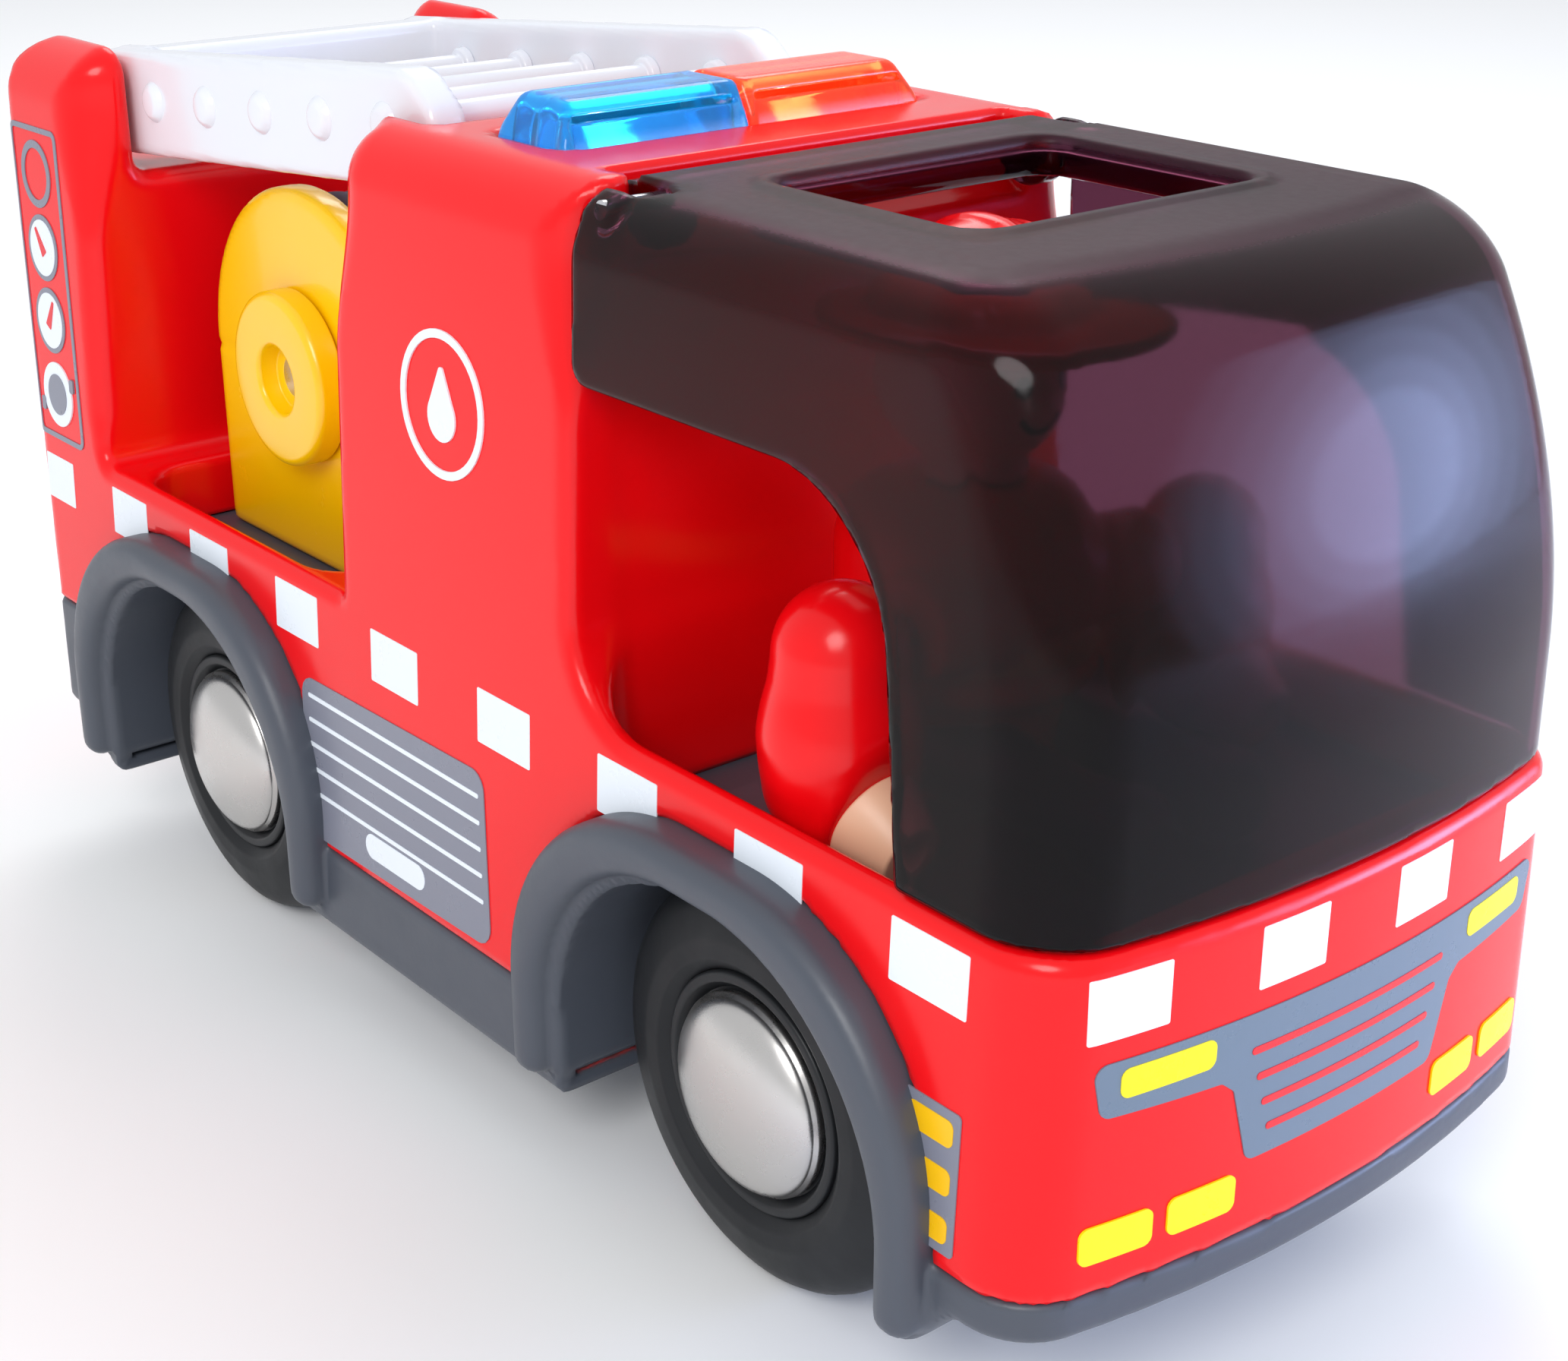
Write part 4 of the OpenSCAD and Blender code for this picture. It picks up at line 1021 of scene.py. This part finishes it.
def head(x, y, z):
    """Round doll head with a neck and a button nose."""
    dx, ay = x - DRIVER_X, np.abs(y)
    skull = np.sqrt(dx ** 2 + y ** 2 + (z - HEAD_Z) ** 2) - HEAD_R + 0.35
    neck = both(np.hypot(dx, y) - 5.9, 94.3 - z, 0.6)
    neck = np.maximum(neck, z - HEAD_Z)
    body = either(skull, neck, 1.0)
    nose = np.sqrt((dx - HEAD_R + 1.3) ** 2 + y ** 2 + (z - 105.6) ** 2) - 1.35
    body = either(body, nose, 0.5)
    return both(body, z - HEAD_TOP, 0.5)


DOME_Z = 111.4
HELMET_R = mm_box("driver_helmet")[1][2] - DOME_Z
BRIM_Z = 112.5


def helmet(x, y, z):
    """Fire helmet: round dome with three raised ribs, and a broad brim."""
    dx = x - DRIVER_X
    dome = np.sqrt(dx ** 2 + y ** 2 + (z - DOME_Z) ** 2) - HELMET_R + 0.5
    rib = np.minimum(np.abs(y) - 1.3, np.abs(np.abs(y) - 7.0) - 0.9)
    ribs = both(dome - 0.5, rib, 0.5)
    dome = either(dome, ribs, 0.5)
    dome = np.maximum(dome, 111.2 - z)
    plate = np.minimum(np.hypot(dx, y) - 18.9, np.hypot(dx - 6, y) - 17.9)
    brim = both(plate, np.abs(z - BRIM_Z - 1.2) - 1.15, 1.0)
    body = either(dome, brim, 1.4)
    hollow = np.sqrt(dx ** 2 + y ** 2 + (z - HEAD_Z) ** 2) - HEAD_R - 0.2
    return without(body, hollow, 0.2)


FINE = 0.9
moulded("driver_jacket", torso, "driver_torso", FINE, "truck", "red_plastic", RED)
moulded("driver_band", jacket_band, "driver_jacket_band", 0.6, "truck", "yellow_trim", AMBER)
moulded("driver_trousers", legs, "driver_legs", FINE, "truck", "navy_plastic", NAVY)
moulded("driver_doll_head", head, "driver_head", 0.7, "driver_head", "skin", SKIN)
moulded("driver_fire_helmet", helmet, "driver_helmet", 0.7, "driver_head", "red_plastic", RED)
for name, side in SIDES.items():
    moulded(f"driver_sleeve_{name}", arm_field(side), f"driver_arm_{name}", FINE, f"arm_{name}",
            "red_plastic", RED)
    hand = rounded([(0, 0), (CUFF_R - 0.5, 0), (4.3, 6.9), (2.6, 6.9), (2.6, 3), (0, 3)],
                   [0, 0.3, 0.5, 0.4, 0.3, 0])

    def at_cuff(p, side=side):
        c, d = math.cos(CUFF_DROP), math.sin(CUFF_DROP)
        return np.stack([CUFF[0] + p[:, 2] * c + p[:, 1] * d, side * ARM_Y + p[:, 0],
                         CUFF[1] - p[:, 2] * d + p[:, 1] * c], 1)

    turned(f"driver_fist_{name}", hand, at_cuff, f"arm_{name}", "skin", SKIN, f"driver_hand_{name}")


# ---------------------------------------------------------------- printed graphics
PRINT_LIFT = 0.08
PRINT_SINK = -0.06


def onto_side(side):
    """Maps (x, z) and a height onto the body's side wall."""
    def place(flat, lift):
        p = np.stack([flat[:, 0], np.full(len(flat), side * 70.0), flat[:, 1]], 1)
        for _ in range(60):
            p[:, 1] -= side * 0.9 * (body_outer(*p.T) - lift)
        return p
    return place


def onto_front(flat, lift):
    """Maps (y, z) and a height onto the bowed front."""
    p = np.stack([np.full(len(flat), 150.0), flat[:, 0], flat[:, 1]], 1)
    for _ in range(60):
        p[:, 0] -= 0.9 * (body_outer(*p.T) - lift)
    return p


def onto_head(flat, lift):
    """Maps (y, z) and a height onto the doll's face."""
    p = np.stack([np.full(len(flat), DRIVER_X + 20.0), flat[:, 0], flat[:, 1]], 1)
    for _ in range(60):
        p[:, 0] -= 0.7 * (head(*p.T) - lift)
    return p


def plate(outlines, place, height, cell):
    """Points and faces of thin plates: outlines cut into cells, laid on a surface and given a thickness."""
    bm = bmesh.new()
    for outline, hole in outlines:
        if hole is None:
            bm.faces.new([bm.verts.new((u, v, 0)) for u, v in outline])
            continue
        outer = [bm.verts.new((u, v, 0)) for u, v in outline]
        inner = [bm.verts.new((u, v, 0)) for u, v in hole]
        for i in range(len(outer)):
            j = (i + 1) % len(outer)
            bm.faces.new((outer[i], outer[j], inner[j], inner[i]))
    flat = np.array([v.co for v in bm.verts])
    if cell:
        for axis in (0, 1):
            normal = Vector((1, 0, 0)) if axis == 0 else Vector((0, 1, 0))
            for cut in np.arange(flat[:, axis].min() + cell / 2, flat[:, axis].max(), cell):
                whole = bm.verts[:] + bm.edges[:] + bm.faces[:]
                bmesh.ops.bisect_plane(bm, geom=whole, plane_co=normal * cut, plane_no=normal, dist=1e-6)
    bmesh.ops.remove_doubles(bm, verts=bm.verts[:], dist=0.02)
    bmesh.ops.triangulate(bm, faces=bm.faces[:])
    bm.verts.index_update()
    flat = np.array([v.co[:2] for v in bm.verts])
    tops = [[v.index for v in f.verts] for f in bm.faces]
    rims = [[lv.vert.index for lv in (e.link_loops[0], e.link_loops[0].link_loop_next)] for e in bm.edges
            if len(e.link_faces) == 1]
    bm.free()
    n = len(flat)
    points = np.concatenate([place(flat, height), place(flat, PRINT_SINK)])
    faces = tops + [[i + n for i in f[::-1]] for f in tops] + [[b, a, a + n, b + n] for a, b in rims]
    return points, faces


def printed(name, places, material, slot, layer=0, cell=0.0, body="truck"):
    """One ink's plates on several surfaces: places is a list of (place, outlines)."""
    height = PRINT_LIFT * (1 + layer)
    parts = [plate(outlines, place, height, cell) for place, outlines in places]
    obj = as_object(name, *joined(parts), smooth=False)
    bm = bmesh.new()
    bm.from_mesh(obj.data)
    bmesh.ops.recalc_face_normals(bm, faces=bm.faces)
    bm.to_mesh(obj.data)
    bm.free()
    finish_piece(obj, body, slot, material)


def oblong(u0, u1, v0, v1, r, skew=0.0):
    """Rounded rectangle outline; skew lifts its right end."""
    return (rounded([(u0, v0), (u1, v0 + skew), (u1, v1 + skew), (u0, v1)], r), None)


def disc(u, v, r, hole=0.0, n=48):
    """Disc or ring outline."""
    a = np.linspace(0, 2 * math.pi, n, endpoint=False)
    ring = np.stack([np.cos(a), np.sin(a)], 1)
    return (ring * r + (u, v), ring * hole + (u, v) if hole else None)


SQUARE_Z = (56.8, 64.2)
SQUARE_PITCH = 26.0
SQUARE_W = 11.7
SQUARE_START = -115.5
REAR_EDGE_X = -113.6
FRONT_SQUARE_W = 9.9
FRONT_SQUARE_Y = (-32.8, -10.9, 10.9, 32.8)
both_sides = [onto_side(s) for s in SIDES.values()]
square_starts = [SQUARE_START + SQUARE_PITCH * k for k in range(9)]
flat_squares = [oblong(max(start, REAR_EDGE_X), start + SQUARE_W, *SQUARE_Z, 0.25) for start in square_starts]
front_squares = [oblong(y - FRONT_SQUARE_W / 2, y + FRONT_SQUARE_W / 2, *SQUARE_Z, 0.25)
                 for y in FRONT_SQUARE_Y]
printed("print_white_squares", [(p, flat_squares) for p in both_sides] + [(onto_front, front_squares)],
        INK_WHITE, "white_plastic", cell=2.0)

PANEL = [(-118.3, 116.9), (-115.0, 67.4), (-98.9, 67.4), (-101.6, 117.0)]
PANEL_LINE = 0.85


def frame_outline(points, width, r):
    """Outline of a frame: its outer loop and the same loop set in by width."""
    pts = np.array(points, float)
    centre = pts.mean(0)
    spans = np.abs(pts - centre)
    inner = centre + (pts - centre) * (1 - width / spans)
    return (rounded(pts, r), rounded(inner, max(r - width, 0.2)))


GAUGES = [(-109.6, 109.6), (-108.9, 98.2), (-108.1, 86.8), (-107.2, 75.0)]
GAUGE_R = 5.2
grey_gauges = [frame_outline(PANEL, PANEL_LINE, 1.6), disc(*GAUGES[0], GAUGE_R, GAUGE_R - 1.2),
               disc(*GAUGES[1], GAUGE_R), disc(*GAUGES[2], GAUGE_R)]
white_gauges = [disc(*GAUGES[1], GAUGE_R - 0.8), disc(*GAUGES[2], GAUGE_R - 0.8), disc(*GAUGES[3], GAUGE_R)]
needles = []
for (u, v), tilt in ((GAUGES[1], 2.2), (GAUGES[2], 1.1)):
    tip = np.array([math.cos(tilt), math.sin(tilt)])
    cross = np.array([-tip[1], tip[0]])
    base = np.array([u, v]) - tip * 1.2
    point = base + tip * 4.8
    needles.append((rounded([base - cross * 0.9, point - cross * 0.3, point + cross * 0.3,
                             base + cross * 0.9], 0.2), None))
outlet = disc(*GAUGES[3], GAUGE_R - 1.9)
lugs = [oblong(GAUGES[3][0] + s * (GAUGE_R + 0.2) - 0.7, GAUGES[3][0] + s * (GAUGE_R + 0.2) + 0.7,
               GAUGES[3][1] + s * 2.4 - 1.1, GAUGES[3][1] + s * 2.4 + 1.1, 0.4) for s in (-1, 1)]

VENT = [(-30.9, 51.6), (-29.9, 27.4), (17.2, 28.2), (15.6, 52.6)]
VENT_LINES = [49.1 - 3.67 * i for i in range(5)]
STRIP = (95.7, 104.6, 28.7, 46.0)
LAMP_Z = (43.2, 37.35, 31.5)
vent = (rounded(VENT, 2.8), None)
strip = oblong(*STRIP, 0.6)
vent_lines = [oblong(-28.9, 14.6 + 0.25 * i, z - 0.32, z + 0.32, 0.25) for i, z in enumerate(VENT_LINES)]
handle = oblong(-14.1, 1.2, 29.9, 33.6, 1.8)
strip_lamps = [oblong(STRIP[0] + 1.0, STRIP[1] - 1.0, z - 1.6, z + 1.6, 0.9) for z in LAMP_Z]
BADGE = (7.3, 99.0)
BADGE_R = 9.4
drop_angle = np.linspace(math.radians(-215), math.radians(35), 24)
drop = [(BADGE[0] + 3.1 * math.cos(a), BADGE[1] - 1.6 + 3.1 * math.sin(a)) for a in drop_angle]
drop.append((BADGE[0], BADGE[1] + 5.4))
badge = [disc(*BADGE, BADGE_R, BADGE_R - 1.1), (rounded(drop, [0] * len(drop_angle) + [0.5]), None)]
printed("print_grey_side", [(p, grey_gauges + [vent, strip]) for p in both_sides], INK_GREY,
        "grey_plastic", 1)
printed("print_white_side", [(p, white_gauges + vent_lines + [handle] + badge) for p in both_sides],
        INK_WHITE, "white_plastic", 2)
printed("print_grey_details", [(p, [outlet] + lugs) for p in both_sides], INK_GREY, "grey_plastic", 3)
printed("print_needles", [(p, needles) for p in both_sides], INK_RED, "red_plastic", 3)
printed("print_side_lamps", [(p, strip_lamps) for p in both_sides], INK_AMBER, "yellow_trim", 2)

half_wing = [(37.0, 54.2), (35.8, 47.8), (20.2, 47.1), (18.4, 45.6), (15.8, 36.0)]
half_radii = [1.5, 1.5, 1.0, 1.0, 1.5]
wing = rounded(half_wing + [(-y, z) for y, z in half_wing[::-1]], half_radii + half_radii[::-1])
SLOTS = [(49.6 - 3.4 * i, 16.2 - 1.0 * i) for i in range(4)]
slots = [oblong(-half, half, z - 0.45, z + 0.45, 0.4) for z, half in SLOTS]
FRONT_LAMPS = ((21.4, 33.6, 49.6, 53.1), (28.4, 37.6, 30.4, 35.0), (17.1, 26.4, 30.4, 35.0))
lamps = [oblong(*sorted((s * inner, s * outer)), low, high, 1.1)
         for s in (-1, 1) for inner, outer, low, high in FRONT_LAMPS]
printed("print_front_grille", [(onto_front, [(wing, None)])], INK_FRONT, "grey_plastic", 1, 2.0)
printed("print_front_slots", [(onto_front, slots)], INK_RED, "red_plastic", 2, 2.0)
printed("print_front_lamps", [(onto_front, lamps)], INK_YELLOW, "yellow_trim", 2, 2.0)

eyes = [disc(s * 4.0, 107.8, 1.15, n=24) for s in (-1, 1)]
SMILE_R = 4.6
SMILE_T = 0.35
turn = np.linspace(math.radians(215), math.radians(325), 16)
smile = [((SMILE_R + t) * np.cos(a), 106.6 + (SMILE_R + t) * np.sin(a))
         for t, row in ((SMILE_T, turn), (-SMILE_T, turn[::-1])) for a in row]
printed("driver_face_print", [(onto_head, eyes + [(np.array(smile), None)])], INK_BLACK, "black_plastic", 1,
        body="driver_head")


# ---------------------------------------------------------------- finishes of the CAD nodes that stay
FINISHES = {"red_plastic": RED, "grey_plastic": GREY, "black_plastic": BLACK, "steel": STEEL,
            "white_plastic": WHITE, "yellow_plastic": YELLOW, "circuit_green": GREEN, "battery_wrap": BLACK,
            "hose_rope": HOSE, "navy_plastic": NAVY, "yellow_trim": AMBER, "skin": SKIN,
            "tinted_plastic": TINT, "silver_cap": CAP, "black_tyre": TYRE, "blue_lens": BLUE_LENS,
            "red_lens": RED_LENS}
SLOT_OF = {part["node"]: part["material_slot"] for part in frame["record"]["subparts"]}
for name, node in frame["nodes"].items():
    for material_slot in node.material_slots:
        material_slot.material = LAMP if name == "light_lamps" else FINISHES[SLOT_OF[name]]


# ---------------------------------------------------------------- floor, light and camera
def area_light(name, place, target, size, power, colour=(1, 1, 1)):
    """Soft box that faces a point."""
    light = bpy.data.lights.new(name, "AREA")
    light.shape = "ELLIPSE"
    light.size, light.size_y = size
    light.energy = power
    light.color = colour
    obj = bpy.data.objects.new(name, light)
    obj.location = place
    obj.rotation_euler = (Vector(target) - Vector(place)).to_track_quat("-Z", "Y").to_euler()
    bpy.context.scene.collection.objects.link(obj)
    return obj


FLOOR_HALF = 3000
# Size in metres and power in watts of each nested front light
FRONT_LIGHTS = ((0.84, 2.1), (0.72, 1.6), (0.60, 1.3), (0.48, 1.1), (0.38, 0.9), (0.28, 0.7))
FRONT_BLUE = (0.45, 0.58, 1.0)


def make_stage():
    """Pale floor, soft white surroundings, key and back light, and nested bluish lights in front."""
    corners = [(-FLOOR_HALF, -FLOOR_HALF, 0), (FLOOR_HALF, -FLOOR_HALF, 0), (FLOOR_HALF, FLOOR_HALF, 0),
               (-FLOOR_HALF, FLOOR_HALF, 0)]
    floor = as_object("floor", corners, [(0, 1, 2, 3)])
    material, tree, bsdf = shader("pale floor")
    bsdf.inputs["Base Color"].default_value = (0.97, 0.97, 0.97, 1)
    bsdf.inputs["Roughness"].default_value = 0.8
    floor.data.materials.append(material)
    world = bpy.data.worlds.new("studio")
    world.use_nodes = True
    world.node_tree.nodes["Background"].inputs["Color"].default_value = (0.95, 0.97, 1.0, 1)
    world.node_tree.nodes["Background"].inputs["Strength"].default_value = 0.8
    bpy.context.scene.world = world
    bpy.context.scene.view_settings.view_transform = "Standard"
    area_light("key", (0.55, -0.75, 0.75), (0, 0, 0.06), (0.5, 0.5), 5)
    for i, (size, power) in enumerate(FRONT_LIGHTS):
        place = (0.62 - 0.01 * i, 0.66 - 0.01 * i, 0.16)
        area_light(f"front_{i}", place, (0.1, 0, 0.09), (size, size * 0.8), power, FRONT_BLUE)
    area_light("back", (-0.6, 0.5, 0.9), (0, 0, 0.08), (0.6, 0.6), 3)


CAMERA_PLACE = (0.25569, -0.19318, 0.18361)
CAMERA_RIGHT = (0.63815, 0.76991, 0.00069)
CAMERA_BACK = (0.70931, -0.58827, 0.38835)
CAMERA_FOCAL_MM = 55.716


def make_camera():
    """Camera at the height and angle from which the truck is shown."""
    camera = bpy.data.cameras.new("camera")
    camera.lens = CAMERA_FOCAL_MM
    camera.sensor_width = 36
    camera.clip_start = 0.01
    obj = bpy.data.objects.new("camera", camera)
    right = Vector(CAMERA_RIGHT)
    back = Vector(CAMERA_BACK).normalized()
    up = back.cross(right).normalized()
    right = up.cross(back)
    turn = Matrix((right, up, back)).transposed().to_4x4()
    obj.matrix_world = Matrix.Translation(CAMERA_PLACE) @ turn
    bpy.context.scene.collection.objects.link(obj)
    bpy.context.scene.camera = obj


make_stage()
make_camera()
